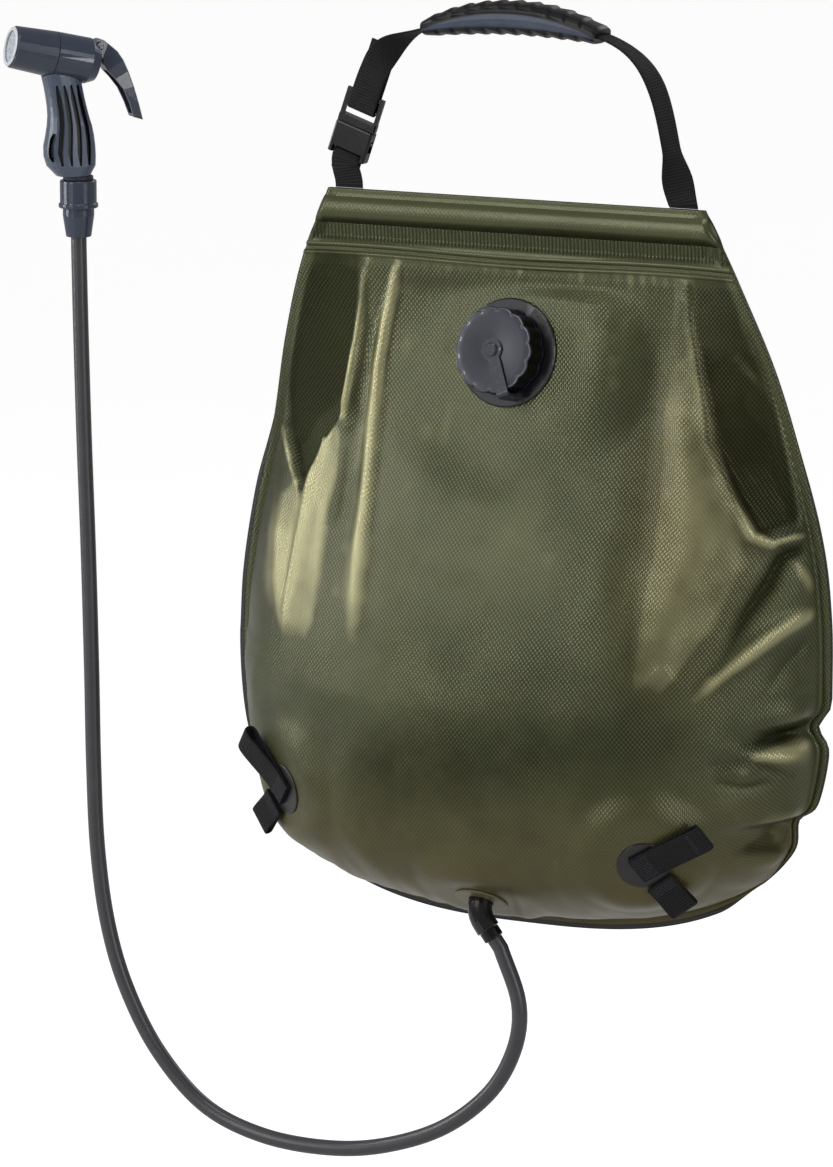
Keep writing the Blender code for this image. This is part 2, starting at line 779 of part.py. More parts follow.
def grip_station(angle):
    """A place on the middle line of the grip: its point, its direction towards +X and its upward normal."""
    way = Vector((math.cos(angle), 0, -math.sin(angle)))
    up = Vector((math.sin(angle), 0, math.cos(angle)))
    low = Vector((0, 0, GRIP_HEIGHT / 2 - GRIP_RADIUS))
    return low + up * GRIP_RADIUS, way, up


def twisted(point, way, turn):
    """A strap station whose width turns from the plane of the arch, at 0, to the y axis, at 1."""
    side = Vector((way.z, 0, -way.x))
    if way.z < 0:
        side = -side
    across = side * math.cos(math.pi / 2 * turn) + Y_AXIS * math.sin(math.pi / 2 * turn)
    return point, across, way.cross(across).normalized()


def strap_stations():
    """The handle strap from the right end of the hem to its tip, and which stations lie in the grip."""
    up = Vector((0, 0, 1))
    foot = Vector((STRAP_X, 0, HINGE_Z))
    stations = strap_foot(STRAP_X)
    end, way, _ = grip_station(GRIP_HALF_ANGLE)
    for i, (point, tangent) in enumerate(bezier(foot, up, end, -way, 22)):
        turn = EARLY_TWIST_SHARE * smooth_step(i / 8) + (1 - EARLY_TWIST_SHARE) * smooth_step((i - 12) / 8)
        stations.append(twisted(point, tangent, turn))
    first = len(stations)
    for i in range(1, 16):
        point, way, _ = grip_station(GRIP_HALF_ANGLE * (1 - 2 * i / 16))
        stations.append(twisted(point, -way, 1))
    last = len(stations)
    end, way, _ = grip_station(-GRIP_HALF_ANGLE)
    top = BUCKLE_POINT + BUCKLE_UP * (SHOULDER_LENGTH + LADDER_LENGTH + BAR_THICKNESS) - Y_AXIS * LAYER
    for i, (point, tangent) in enumerate(bezier(end, -way, top, -BUCKLE_UP, 18)):
        stations.append(twisted(point, tangent, 1 - smooth_step(i / 15)))
    bar = BUCKLE_POINT + BUCKLE_UP * (SHOULDER_LENGTH + LADDER_LENGTH / 2)
    stations += turn_round(bar, -Y_AXIS, -BUCKLE_UP)
    lean = math.radians(TAIL_LEAN_DEGREES)
    tail_way = BUCKLE_UP * math.cos(lean) + Y_AXIS * math.sin(lean)
    tail_out = Y_AXIS * math.cos(lean) - BUCKLE_UP * math.sin(lean)
    for i in range(1, 6):
        point = bar + Y_AXIS * LAYER + tail_way * (TAIL_LENGTH * i / 5)
        stations.append((point, BUCKLE_ACROSS, -tail_out))
    return stations, first, last


def signed(stations):
    """Turns the thickness direction of each station to agree with the station before it."""
    made = [stations[0]]
    for point, across, out in stations[1:]:
        before = made[-1]
        if across.dot(before[1]) < 0:
            across = -across
        if out.dot(before[2]) < 0:
            out = -out
        made.append((point, across, out))
    return made


def build_strap_and_grip():
    stations, first, last = strap_stations()
    stations = signed(stations)
    strap = loft_mesh("handle_strap", ribbon_rings(stations, STRAP_WIDTH, STRAP_THICKNESS))
    place("handle_strap", strap, BLACK, 0.85)

    rings = []
    around = 24
    marks = []
    for i in range(GRIP_SCALES):
        marks += [(i / GRIP_SCALES, 0.0), ((i + GRIP_SCALE_TIP_SHARE) / GRIP_SCALES, 1.0)]
    marks.append((1.0, 0.0))
    for share, raised in marks:
        point, way, up = grip_station(GRIP_HALF_ANGLE * (2 * share - 1))
        middle = 1 - abs(2 * share - 1) ** GRIP_SWELL_POWER
        half_height = (GRIP_END_HEIGHT + (GRIP_HEIGHT - GRIP_END_HEIGHT) * middle) / 2
        leaf = GRIP_BAND_SHARES[0] + GRIP_BAND_SHARES[1] * middle
        ring = []
        for j in range(around):
            angle = 2 * math.pi * j / around
            cos, sin = math.cos(angle), math.sin(angle)
            outside = smooth_step((abs(sin) - leaf) / GRIP_BAND_EDGE_SHARE)
            y = GRIP_DEPTH / 2 * math.copysign(abs(cos) ** GRIP_ROUND_POWERS[0], cos)
            z = half_height * math.copysign(abs(sin) ** GRIP_ROUND_POWERS[1], sin)
            scale = GRIP_SCALE_STEP * raised * outside * middle**GRIP_SCALE_POWER
            grow = scale + GRIP_BAND * (1 - outside)
            ring.append(point + Y_AXIS * (y + grow * cos) + up * (z + grow * sin))
        rings.append(ring)
    grip = place("grip", loft_mesh("grip", rings), BLACK, 0.35)
    room = 2 * RUNNING_GAP
    tunnel = ribbon_rings(stations[first - 3 : last + 3], STRAP_WIDTH + room, STRAP_THICKNESS + room)
    combine(grip, cutter("strap tunnel", loft_mesh("strap tunnel", tunnel)))


def strap_foot(x):
    """The rounded lower end of a strap on the hem's hinge line."""
    up = Vector((0, 0, 1))
    stations = []
    for low_share, thin_share in STRAP_FOOT_SHARES:
        foot = Vector((x, 0, HINGE_Z)) - up * (STRAP_THICKNESS / 2 * low_share)
        point, across, out = twisted(foot, up, 0)
        stations.append((point, across, out * thin_share))
    return stations


def turn_round(bar, side, away, steps=8):
    """Stations of a strap's half turn round a bar, from one side of it to the other."""
    stations = []
    for i in range(steps + 1):
        angle = math.pi * i / steps
        out = side * math.cos(angle) + away * math.sin(angle)
        stations.append((bar + out * LAYER, BUCKLE_ACROSS, out))
    return stations


def build_hem():
    along_x = Matrix.Rotation(math.pi / 2, 3, "Y")
    rod = rod_mesh("hem_rod", ROD_RADIUS, -ROD_LENGTH / 2, ROD_LENGTH / 2)
    place("hem_rod", rod, BLACK, 0.5, frame_at((0, 0, ROD_Z), along_x))
    half = STRAP_WIDTH / 2
    for name, x in (("strap_anchor_left", -STRAP_X), ("strap_anchor_right", STRAP_X)):
        spot = frame_at((x, 0, ROD_Z), along_x)
        loop = place(name, rod_mesh(name, ROD_LOOP_RADIUS, -half, half), BLACK, 0.85, spot)
        low = (x - half, -STRAP_THICKNESS / 2, ROD_Z)
        high = (x + half, STRAP_THICKNESS / 2, HINGE_Z - STRAP_THICKNESS / 2 - SEAT_GAP)
        combine(loop, cutter(name + " flap", box_mesh(name, low, high)), "UNION")
        bore = rod_mesh(name, ROD_RADIUS + SEAT_GAP, -half - CUT_OVERRUN, half + CUT_OVERRUN)
        combine(loop, cutter(name + " bore", bore, spot))


def build_buckle():
    frame = axes_frame(BUCKLE_POINT, BUCKLE_ACROSS, BUCKLE_UP)
    along_x = Matrix.Rotation(math.pi / 2, 4, "Y")
    half = BUCKLE_WIDTH / 2
    bar = BAR_THICKNESS / 2
    inner = half - LADDER_RAIL
    middle = SHOULDER_LENGTH + LADDER_LENGTH / 2
    top = SHOULDER_LENGTH + LADDER_LENGTH

    low, high = (-half, -bar, SEAT_GAP), (half, bar, top + BAR_THICKNESS)
    male = place("buckle_male", box_mesh("buckle_male", low, high), BLACK, 0.3, frame)
    window = box_mesh("ladder window", (-inner, -half, SHOULDER_LENGTH), (inner, half, top))
    combine(male, cutter("ladder window", window, frame))
    middle_bar = rod_mesh("ladder bar", bar, -half + LADDER_RAIL / 2, half - LADDER_RAIL / 2, 16)
    spot = frame @ Matrix.Translation((0, 0, middle)) @ along_x
    combine(male, cutter("ladder bar", middle_bar, spot), "UNION")
    body = BUCKLE_THICKNESS / 2 - EDGE_ROUND
    wide = half - EDGE_ROUND
    shoulder = box_mesh("shoulder", (-wide, -body, SEAT_GAP), (wide, body, SHOULDER_LENGTH))
    combine(male, cutter("shoulder", shoulder, frame), "UNION")
    guide = PRONG_THICKNESS / 2
    low, high = (-GUIDE_WIDTH / 2, -guide, -GUIDE_LENGTH), (GUIDE_WIDTH / 2, guide, SHOULDER_LENGTH / 2)
    combine(male, cutter("guide", box_mesh("guide", low, high), frame), "UNION")
    rounded(male, EDGE_ROUND / 2, 1)

    body = BUCKLE_THICKNESS / 2
    low, high = (-half, -body, -FEMALE_LENGTH), (half, body, 0)
    female = place("buckle_female", box_mesh("buckle_female", low, high), BLACK, 0.25, frame)
    rounded(female, 2 * EDGE_ROUND)
    wall = half - FEMALE_WALL
    deep = body - FEMALE_WALL
    mouth = box_mesh("mouth", (-wall, -deep, -CAVITY_DEPTH), (wall, deep, CUT_OVERRUN))
    combine(female, cutter("mouth", mouth, frame))
    tall = guide + RUNNING_GAP
    high_window = -BARB_START + RUNNING_GAP
    low = (-half - CUT_OVERRUN, -tall, high_window - WINDOW_LENGTH)
    high = (half + CUT_OVERRUN, tall, high_window)
    combine(female, cutter("side window", box_mesh("side window", low, high), frame))
    slot = STRAP_WIDTH / 2 + STRAP_SLOT_SIDE
    low = (-slot, -half, -FEMALE_LENGTH - CUT_OVERRUN)
    high = (slot, half, -CAVITY_DEPTH - STRAP_SLOT_WALL)
    combine(female, cutter("strap slot", box_mesh("strap slot", low, high), frame))
    low_bar = rod_mesh("strap bar", bar, -slot - FEMALE_WALL / 2, slot + FEMALE_WALL / 2, 16)
    spot = Matrix.Translation((0, 0, -FEMALE_LENGTH + bar))
    combine(female, cutter("strap bar", low_bar, frame @ spot @ along_x), "UNION")

    root = wall - RUNNING_GAP
    outline = (
        (root - PRONG_WIDTH, -PRONG_CLEARANCE),
        (root, -PRONG_CLEARANCE),
        (root, -BARB_START),
        (root + PRONG_BARB, -BARB_START - BARB_SLOPE),
        (root + PRONG_BARB, -BARB_START - PRONG_BARB),
        (root - PRONG_WIDTH / 3, -PRONG_LENGTH),
        (root - PRONG_WIDTH * 2 / 3, -PRONG_LENGTH),
        (root - PRONG_WIDTH, -PRONG_LENGTH + PRONG_WIDTH),
    )
    for name, way in (("prong_left", -1), ("prong_right", 1)):
        mesh = outline_mesh(name, [(way * x, z) for x, z in outline], guide)
        place(name, mesh, BLACK, 0.3, frame)

    up = Vector((0, 0, 1))
    bar_point = BUCKLE_POINT - BUCKLE_UP * (FEMALE_LENGTH - bar)
    stations = strap_foot(-STRAP_X)
    foot = Vector((-STRAP_X, 0, HINGE_Z))
    reach = bezier(foot, up, bar_point - Y_AXIS * LAYER, BUCKLE_UP, 8)
    stations += [twisted(point, tangent, 0) for point, tangent in reach[:-1]]
    stations += turn_round(bar_point, -Y_AXIS, BUCKLE_UP)
    for i in range(1, 4):
        point = bar_point + Y_AXIS * LAYER - BUCKLE_UP * (LOWER_TAIL_LENGTH * i / 3)
        stations.append((point, BUCKLE_ACROSS, Y_AXIS))
    lower = loft_mesh("lower_strap", ribbon_rings(signed(stations), STRAP_WIDTH, STRAP_THICKNESS))
    place("lower_strap", lower, BLACK, 0.85)


def seat_frame(item_seat):
    centre, outward, _ = item_seat
    return axes_frame(centre, (1, 0, 0), outward)


def lobed_ring(radius, height):
    """A ring of points round z with the cap's lobes on it."""
    ring = []
    count = CAP_LOBES * 4
    for i in range(count):
        angle = 2 * math.pi * i / count
        r = radius - CAP_LOBE_DEPTH * (1 - abs(math.cos(CAP_LOBES * angle / 2)) ** CAP_LOBE_POWER)
        ring.append((r * math.cos(angle), r * math.sin(angle), height))
    return ring


NECK_TOP = FLANGE_THICKNESS + NECK_HEIGHT
CAP_CEILING = NECK_TOP + 2 * SEAT_GAP + GASKET_THICKNESS
CAP_TOP = CAP_CEILING + CAP_TOP_WALL
TETHER_TOP = CAP_TOP + SEAT_GAP + TETHER_THICKNESS


def build_filler():
    frame = seat_frame(FILLER_SEAT)
    flange = (
        (FLANGE_RADIUS - FLANGE_CHAMFER, FLANGE_THICKNESS),
        (FLANGE_RADIUS, FLANGE_THICKNESS - FLANGE_CHAMFER),
        (FLANGE_RADIUS, SEAT_GAP),
        (NECK_RADIUS + SEAT_GAP, SEAT_GAP),
        (NECK_RADIUS + SEAT_GAP, FLANGE_THICKNESS),
    )
    turned("filler_flange", flange, BLUE_GREY, 0.35, frame)
    neck = (
        (NECK_RADIUS, NECK_TOP),
        (NECK_RADIUS, SEAT_GAP),
        (NECK_BORE_RADIUS, SEAT_GAP),
        (NECK_BORE_RADIUS, NECK_TOP),
    )
    turned("filler_neck", neck, BLUE_GREY, 0.35, frame)

    base = FLANGE_THICKNESS + CAP_FLANGE_GAP
    inside = NECK_RADIUS + THREAD_GAP
    rings = [
        lobed_ring(CAP_RADIUS - CAP_ROUND / 2, base),
        lobed_ring(CAP_RADIUS, base + CAP_ROUND / 2),
        lobed_ring(CAP_RADIUS, CAP_TOP - CAP_ROUND),
        lobed_ring(CAP_RADIUS - CAP_ROUND, CAP_TOP),
    ]
    skirt = place("cap_skirt", loft_mesh("cap_skirt", rings), BLACK, 0.35, frame)
    bore = rod_mesh("cap bore", inside, base - CUT_OVERRUN, CAP_TOP + CUT_OVERRUN, ROUND_STEPS)
    combine(skirt, cutter("cap bore", bore, frame))
    disc = (
        (inside - SEAT_GAP, CAP_TOP),
        (inside - SEAT_GAP, CAP_CEILING),
        (PIN_RADIUS + SEAT_GAP, CAP_CEILING),
        (PIN_RADIUS + SEAT_GAP, CAP_TOP),
    )
    turned("cap_top", disc, BLACK, 0.35, frame)

    wall = NECK_RADIUS - NECK_BORE_RADIUS
    gasket = (
        (NECK_RADIUS, NECK_TOP + SEAT_GAP + GASKET_THICKNESS),
        (NECK_RADIUS, NECK_TOP + SEAT_GAP),
        (NECK_BORE_RADIUS - wall, NECK_TOP + SEAT_GAP),
        (NECK_BORE_RADIUS - wall, NECK_TOP + SEAT_GAP + GASKET_THICKNESS),
    )
    turned("cap_gasket", gasket, BLACK, 0.9, frame, 32)

    catch = CAP_CEILING - SEAT_GAP
    head = TETHER_TOP + SEAT_GAP
    pin = (
        (0, head + PIN_HEAD_HEIGHT),
        (PIN_HEAD_RADIUS * PIN_HEAD_TOP_SHARE, head + PIN_HEAD_HEIGHT),
        (PIN_HEAD_RADIUS, head + PIN_HEAD_HEIGHT / 2),
        (PIN_HEAD_RADIUS, head),
        (PIN_RADIUS, head),
        (PIN_RADIUS, catch),
        (PIN_CATCH_RADIUS, catch),
        (PIN_CATCH_RADIUS, catch - PIN_CATCH_HEIGHT),
        (0, catch - PIN_CATCH_HEIGHT),
    )
    turned("tether_pin", pin, BLACK, 0.3, frame, SMALL_STEPS)

    ring = (
        (TETHER_RING_RADIUS, TETHER_TOP),
        (TETHER_RING_RADIUS, CAP_TOP + SEAT_GAP),
        (PIN_RADIUS + SEAT_GAP, CAP_TOP + SEAT_GAP),
        (PIN_RADIUS + SEAT_GAP, TETHER_TOP),
    )
    tether = turned("cap_tether", ring, BLACK, 0.4, frame, SMALL_STEPS)
    turn = Matrix.Rotation(math.radians(TETHER_ANGLE_DEGREES), 3, "Z")
    along, across, up = turn @ Vector((1, 0, 0)), turn @ Vector((0, 1, 0)), Vector((0, 0, 1))
    level = CAP_TOP + SEAT_GAP + TETHER_THICKNESS / 2
    stations = []
    for share in TETHER_START_SHARES:
        stations.append((along * share * TETHER_RING_RADIUS + up * level, across, up))
    centre = along * (TETHER_REACH - TETHER_BEND) + up * (level - TETHER_BEND)
    for i in range(7):
        angle = math.pi / 2 * (1 - i / 6)
        out = along * math.cos(angle) + up * math.sin(angle)
        stations.append((centre + out * TETHER_BEND, across, out))
    foot = FLANGE_THICKNESS + SEAT_GAP
    for height in (level / 2, foot):
        stations.append((along * TETHER_REACH + up * height, across, along))
    strip = loft_mesh("tether strip", ribbon_rings(stations, TETHER_WIDTH, TETHER_THICKNESS))
    combine(tether, cutter("tether strip", strip, frame), "UNION")


# Outlet elbow and hose: the elbow turns from straight out of the bag to along the hose

OUTLET_WAY = OUTLET_SEAT[1]
HOSE_FALL = math.radians(HOSE_FALL_DEGREES)
HOSE_WAY = Vector((math.cos(HOSE_FALL), 0, -math.sin(HOSE_FALL)))
ELBOW_CORNER = OUTLET_SEAT[0] + OUTLET_WAY * ELBOW_OUT
ELBOW_END = ELBOW_CORNER + HOSE_WAY * ELBOW_DOWN
HOSE_START = ELBOW_END + HOSE_WAY * (FERRULE_LENGTH + 2 * SEAT_GAP)
HOSE_PLANE = HOSE_START.y
HEAD_POINT = Vector((HOSE_TOP[0], HOSE_PLANE, HOSE_TOP[1] + SEAT_GAP))


def elbow_rings(radii, overrun):
    """Rings along the bent elbow, with a radius at its foot and one at its end."""
    side = OUTLET_WAY.cross(HOSE_WAY).normalized()
    bend = ELBOW_OUT - OUTLET_RING_THICKNESS - SEAT_GAP
    path = [(OUTLET_SEAT[0] + OUTLET_WAY * (SEAT_GAP - overrun), OUTLET_WAY)]
    for i in range(7):
        t = i / 6
        point = ELBOW_CORNER - OUTLET_WAY * (bend * (1 - t) ** 2) + HOSE_WAY * (bend * t**2)
        path.append((point, (OUTLET_WAY * (1 - t) + HOSE_WAY * t).normalized()))
    path.append((ELBOW_END + HOSE_WAY * overrun, HOSE_WAY))
    rings = []
    for i, (point, way) in enumerate(path):
        radius = radii[0] + (radii[1] - radii[0]) * i / (len(path) - 1)
        other = way.cross(side)
        ring = []
        for j in range(ELBOW_STEPS):
            angle = 2 * math.pi * j / ELBOW_STEPS
            ring.append(point + side * (radius * math.cos(angle)) + other * (radius * math.sin(angle)))
        rings.append(ring)
    return rings


def build_outlet_and_hose():
    frame = seat_frame(OUTLET_SEAT)
    ring = (
        (OUTLET_RING_RADIUS - OUTLET_RING_THICKNESS / 2, OUTLET_RING_THICKNESS),
        (OUTLET_RING_RADIUS, OUTLET_RING_THICKNESS / 2),
        (OUTLET_RING_RADIUS, SEAT_GAP),
        (ELBOW_RADIUS + SEAT_GAP, SEAT_GAP),
        (ELBOW_RADIUS + SEAT_GAP, OUTLET_RING_THICKNESS),
    )
    turned("outlet_ring", ring, OLIVE, 0.4, frame, 32)
    elbow = loft_mesh("outlet_elbow", elbow_rings((ELBOW_RADIUS, ELBOW_RADIUS), 0))
    elbow = place("outlet_elbow", elbow, BLACK, 0.2)
    bore = loft_mesh("elbow bore", elbow_rings((OUTLET_BORE_RADIUS, OUTLET_BORE_RADIUS), CUT_OVERRUN))
    combine(elbow, cutter("elbow bore", bore))
    ferrule = (
        (FERRULE_RADIUS - EDGE_ROUND, FERRULE_LENGTH + SEAT_GAP),
        (FERRULE_RADIUS, FERRULE_LENGTH + SEAT_GAP - EDGE_ROUND),
        (FERRULE_RADIUS, SEAT_GAP),
        (OUTLET_BORE_RADIUS, SEAT_GAP),
        (OUTLET_BORE_RADIUS, FERRULE_LENGTH + SEAT_GAP),
    )
    turned("hose_ferrule", ferrule, BLACK, 0.3, axes_frame(ELBOW_END, (0, 1, 0), HOSE_WAY), SMALL_STEPS)

    onward = HOSE_START + HOSE_WAY * HOSE_STRAIGHT
    last = (HOSE_TOP[0], HOSE_TOP[1] - HOSE_STRAIGHT)
    middle = through([(onward.x, onward.z)] + list(HOSE_ROUTE) + [last], HOSE_POINTS)
    points = [(HOSE_START.x, HOSE_START.z)] + middle + [HOSE_TOP]
    curve = bpy.data.curves.new("hose", "CURVE")
    curve.dimensions = "3D"
    line = curve.splines.new("POLY")
    line.points.add(len(points) - 1)
    for knot, (x, z) in zip(line.points, points):
        knot.co = (x, HOSE_PLANE, z, 1)
    curve.bevel_depth = HOSE_RADIUS
    curve.bevel_resolution = 3
    curve.use_fill_caps = True
    place("hose", curve, BLACK, 0.35)


def tab_stations(start, length, fold, angle_degrees):
    """A strap that runs out from its stitches, folds at its tip and runs back, in its patch's frame."""
    turn = Matrix.Rotation(math.radians(angle_degrees), 3, "Z")
    along, across, up = turn @ Vector((1, 0, 0)), turn @ Vector((0, 1, 0)), Vector((0, 0, 1))
    low = PATCH_THICKNESS + SEAT_GAP + TAB_STRAP / 2
    stations = [(along * (start + (length - fold) * i / 3) + up * low, across, up) for i in range(4)]
    centre = along * (start + length - fold) + up * (low + fold)
    for i in range(1, 8):
        angle = math.pi * (i / 7 - 0.5)
        out = along * math.cos(angle) + up * math.sin(angle)
        stations.append((centre + out * fold, across, -out))
    rise = TAB_STRAP + SEAT_GAP
    for i in range(1, 6):
        share = i / 5
        height = low + 2 * fold + (rise - 2 * fold) * smooth_step(share)
        stations.append((along * (start + (length - fold) * (1 - share)) + up * height, across, -up))
    return stations


def build_patches():
    disc = (
        (0, PATCH_THICKNESS),
        (PATCH_RADIUS - PATCH_THICKNESS / 2, PATCH_THICKNESS),
        (PATCH_RADIUS, PATCH_THICKNESS / 2),
        (PATCH_RADIUS, SEAT_GAP),
        (0, SEAT_GAP),
    )
    for side, item_seat, upper, lower in (
        ("left", LEFT_SEAT, LEFT_UPPER_DEGREES, LEFT_LOWER_DEGREES),
        ("right", RIGHT_SEAT, RIGHT_UPPER_DEGREES, RIGHT_LOWER_DEGREES),
    ):
        frame = seat_frame(item_seat)
        turned("patch_" + side, disc, BLUE_GREY, 0.6, frame, 32)
        for name, start, length, fold, angle in (
            ("upper_tab_" + side, -UPPER_ROOT_BACK, UPPER_TAB_LENGTH, UPPER_FOLD_RADIUS, upper),
            ("lower_tab_" + side, LOWER_ROOT_OUT, LOWER_TAB_LENGTH, LOWER_FOLD_RADIUS, lower),
        ):
            rings = ribbon_rings(tab_stations(start, length, fold, angle), TAB_WIDTH, TAB_STRAP)
            place(name, loft_mesh(name, rings), BLACK, 0.85, frame)


# Shower head

HEAD = Matrix.Translation(HEAD_POINT) @ Matrix.Rotation(math.radians(HEAD_TURN_DEGREES), 4, "Z")
COLLAR_Z = HOSE_NUT_HEIGHT + SEAT_GAP
SEAL_Z = COLLAR_Z + COLLAR_HEIGHT + SEAT_GAP
HANDLE_Z = SEAL_Z + SEAL_HEIGHT + SEAT_GAP
BARREL_CENTRE_Z = HANDLE_Z + HANDLE_HEIGHT + BARREL_OVER_HANDLE
FALL = math.radians(BARREL_FALL_DEGREES)
BARREL_CENTRE = Vector((BARREL_CENTRE_X, 0, BARREL_CENTRE_Z))
BARREL_UP = Vector((math.sin(FALL), 0, math.cos(FALL)))
BARREL_FRONT = Vector((-math.cos(FALL), 0, math.sin(FALL)))
BARREL_TURN = Matrix((BARREL_UP, Y_AXIS, BARREL_FRONT)).transposed()
BARREL = HEAD @ frame_at(BARREL_CENTRE, BARREL_TURN)
LEVER_PIN = BARREL_CENTRE + BARREL_TURN @ Vector((LEVER_PIN_UP, 0, -LEVER_PIN_BACK))
PIN_FRAME = HEAD @ Matrix.Translation(LEVER_PIN) @ Matrix.Rotation(math.pi / 2, 4, "X")


def handle_sides(share):
    """The handle's nozzle side, lever side and half depth at a share of its height."""
    low = HANDLE_WIDTH * between(share, HANDLE_HEIGHT_SHARES, HANDLE_NOZZLE_SHARES)
    high = HANDLE_WIDTH * between(share, HANDLE_HEIGHT_SHARES, HANDLE_LEVER_SHARES)
    return low, high, HANDLE_DEPTH / 2 * between(share, HANDLE_HEIGHT_SHARES, HANDLE_DEPTH_SHARES)


def handle_loft(name, inset, low, high):
    """The handle's form, drawn in by an inset, between two shares of its height."""
    rings = []
    count = 11
    for i in range(count + 1):
        share = low + (high - low) * i / count
        left, right, deep = handle_sides(min(max(share, 0.0), 1.0))
        middle, wide = (left + right) / 2, (right - left) / 2 - inset
        ring = []
        for j in range(PROFILE_POINTS):
            angle = 2 * math.pi * j / PROFILE_POINTS
            cos, sin = math.cos(angle), math.sin(angle)
            x = middle + wide * math.copysign(abs(cos) ** HANDLE_ROUND_POWER, cos)
            y = (deep - inset) * math.copysign(abs(sin) ** HANDLE_ROUND_POWER, sin)
            ring.append((x, y, HANDLE_Z + HANDLE_HEIGHT * share))
        rings.append(ring)
    return loft_mesh(name, rings)


def slot_mesh(name, place_share, height_shares):
    """A slot through the handle, at a share of its width, curving with it."""
    rings = []
    low, high = height_shares
    count = 6
    for i in range(count + 1):
        share = low + (high - low) * i / count
        left, right, _ = handle_sides(share)
        x = left + (right - left) * place_share
        wide = SLOT_WIDTH / 2 * (SLOT_END_SHARE if i in (0, count) else 1)
        z = HANDLE_Z + HANDLE_HEIGHT * share
        ends = (x - wide, x + wide)
        rings.append(
            (
                (ends[0], -HANDLE_DEPTH, z),
                (ends[1], -HANDLE_DEPTH, z),
                (ends[1], HANDLE_DEPTH, z),
                (ends[0], HANDLE_DEPTH, z),
            )
        )
    return loft_mesh(name, rings)


def build_handle():
    tail_bore = TAIL_RADIUS + RUNNING_GAP
    nut = (
        (HOSE_NUT_TOP_RADIUS, HOSE_NUT_HEIGHT),
        (HOSE_NUT_TOP_RADIUS, HOSE_NUT_HEIGHT - HOSE_NUT_HEIGHT / 4),
        (HOSE_NUT_LOW_RADIUS, 0),
        (tail_bore, 0),
        (tail_bore, HOSE_NUT_HEIGHT),
    )
    turned("hose_nut", nut, BLUE_GREY, 0.3, HEAD, 32)
    ridge = COLLAR_RADIUS + COLLAR_RIDGE
    top = COLLAR_Z + COLLAR_HEIGHT
    collar = (
        (COLLAR_RADIUS - EDGE_ROUND, top),
        (COLLAR_RADIUS, top - EDGE_ROUND),
        (COLLAR_RADIUS, COLLAR_Z + COLLAR_RIDGE_HEIGHT),
        (ridge, COLLAR_Z + COLLAR_RIDGE_HEIGHT - EDGE_ROUND),
        (ridge, COLLAR_Z + EDGE_ROUND),
        (ridge - EDGE_ROUND, COLLAR_Z),
        (tail_bore, COLLAR_Z),
        (tail_bore, top),
    )
    turned("head_collar", collar, BLUE_GREY, 0.3, HEAD, 32)
    seal = (
        (SEAL_RADIUS, SEAL_Z + SEAL_HEIGHT),
        (SEAL_RADIUS, SEAL_Z),
        (tail_bore, SEAL_Z),
        (tail_bore, SEAL_Z + SEAL_HEIGHT),
    )
    turned("neck_seal", seal, BLACK, 0.6, HEAD, SMALL_STEPS)

    saddle = rod_mesh("saddle", BARREL_RADIUS + SEAT_GAP, -HANDLE_HEIGHT, HANDLE_HEIGHT, ROUND_STEPS)
    saddle = cutter("saddle", saddle, BARREL)
    shell = place("handle_shell", handle_loft("handle_shell", 0, 0, 1), SLATE, 0.35, HEAD)
    over = CUT_OVERRUN / HANDLE_HEIGHT
    combine(shell, cutter("shell space", handle_loft("shell space", HANDLE_WALL, -over, 1 + over), HEAD))
    for i, share in enumerate(SLOT_PLACE_SHARES):
        slot = slot_mesh(f"grip slot {i}", share, SLOT_HEIGHT_SHARES)
        combine(shell, cutter(f"grip slot {i}", slot, HEAD))
    small = slot_mesh("small slot", SMALL_SLOT_PLACE_SHARE, SMALL_SLOT_HEIGHT_SHARES)
    combine(shell, cutter("small slot", small, HEAD))
    combine(shell, saddle)

    core = place("handle_core", handle_loft("handle_core", HANDLE_WALL + SEAT_GAP, 0, 1), BLACK, 0.5, HEAD)
    tail = rod_mesh("tail", TAIL_RADIUS, HOSE_NUT_HEIGHT / 4, HANDLE_Z + CUT_OVERRUN)
    combine(core, cutter("tail", tail, HEAD), "UNION")
    combine(core, saddle)
    waterway = cutter("waterway", rod_mesh("waterway", WATERWAY_RADIUS, 0, BARREL_CENTRE_Z, 16), HEAD)
    combine(core, waterway)
    return waterway


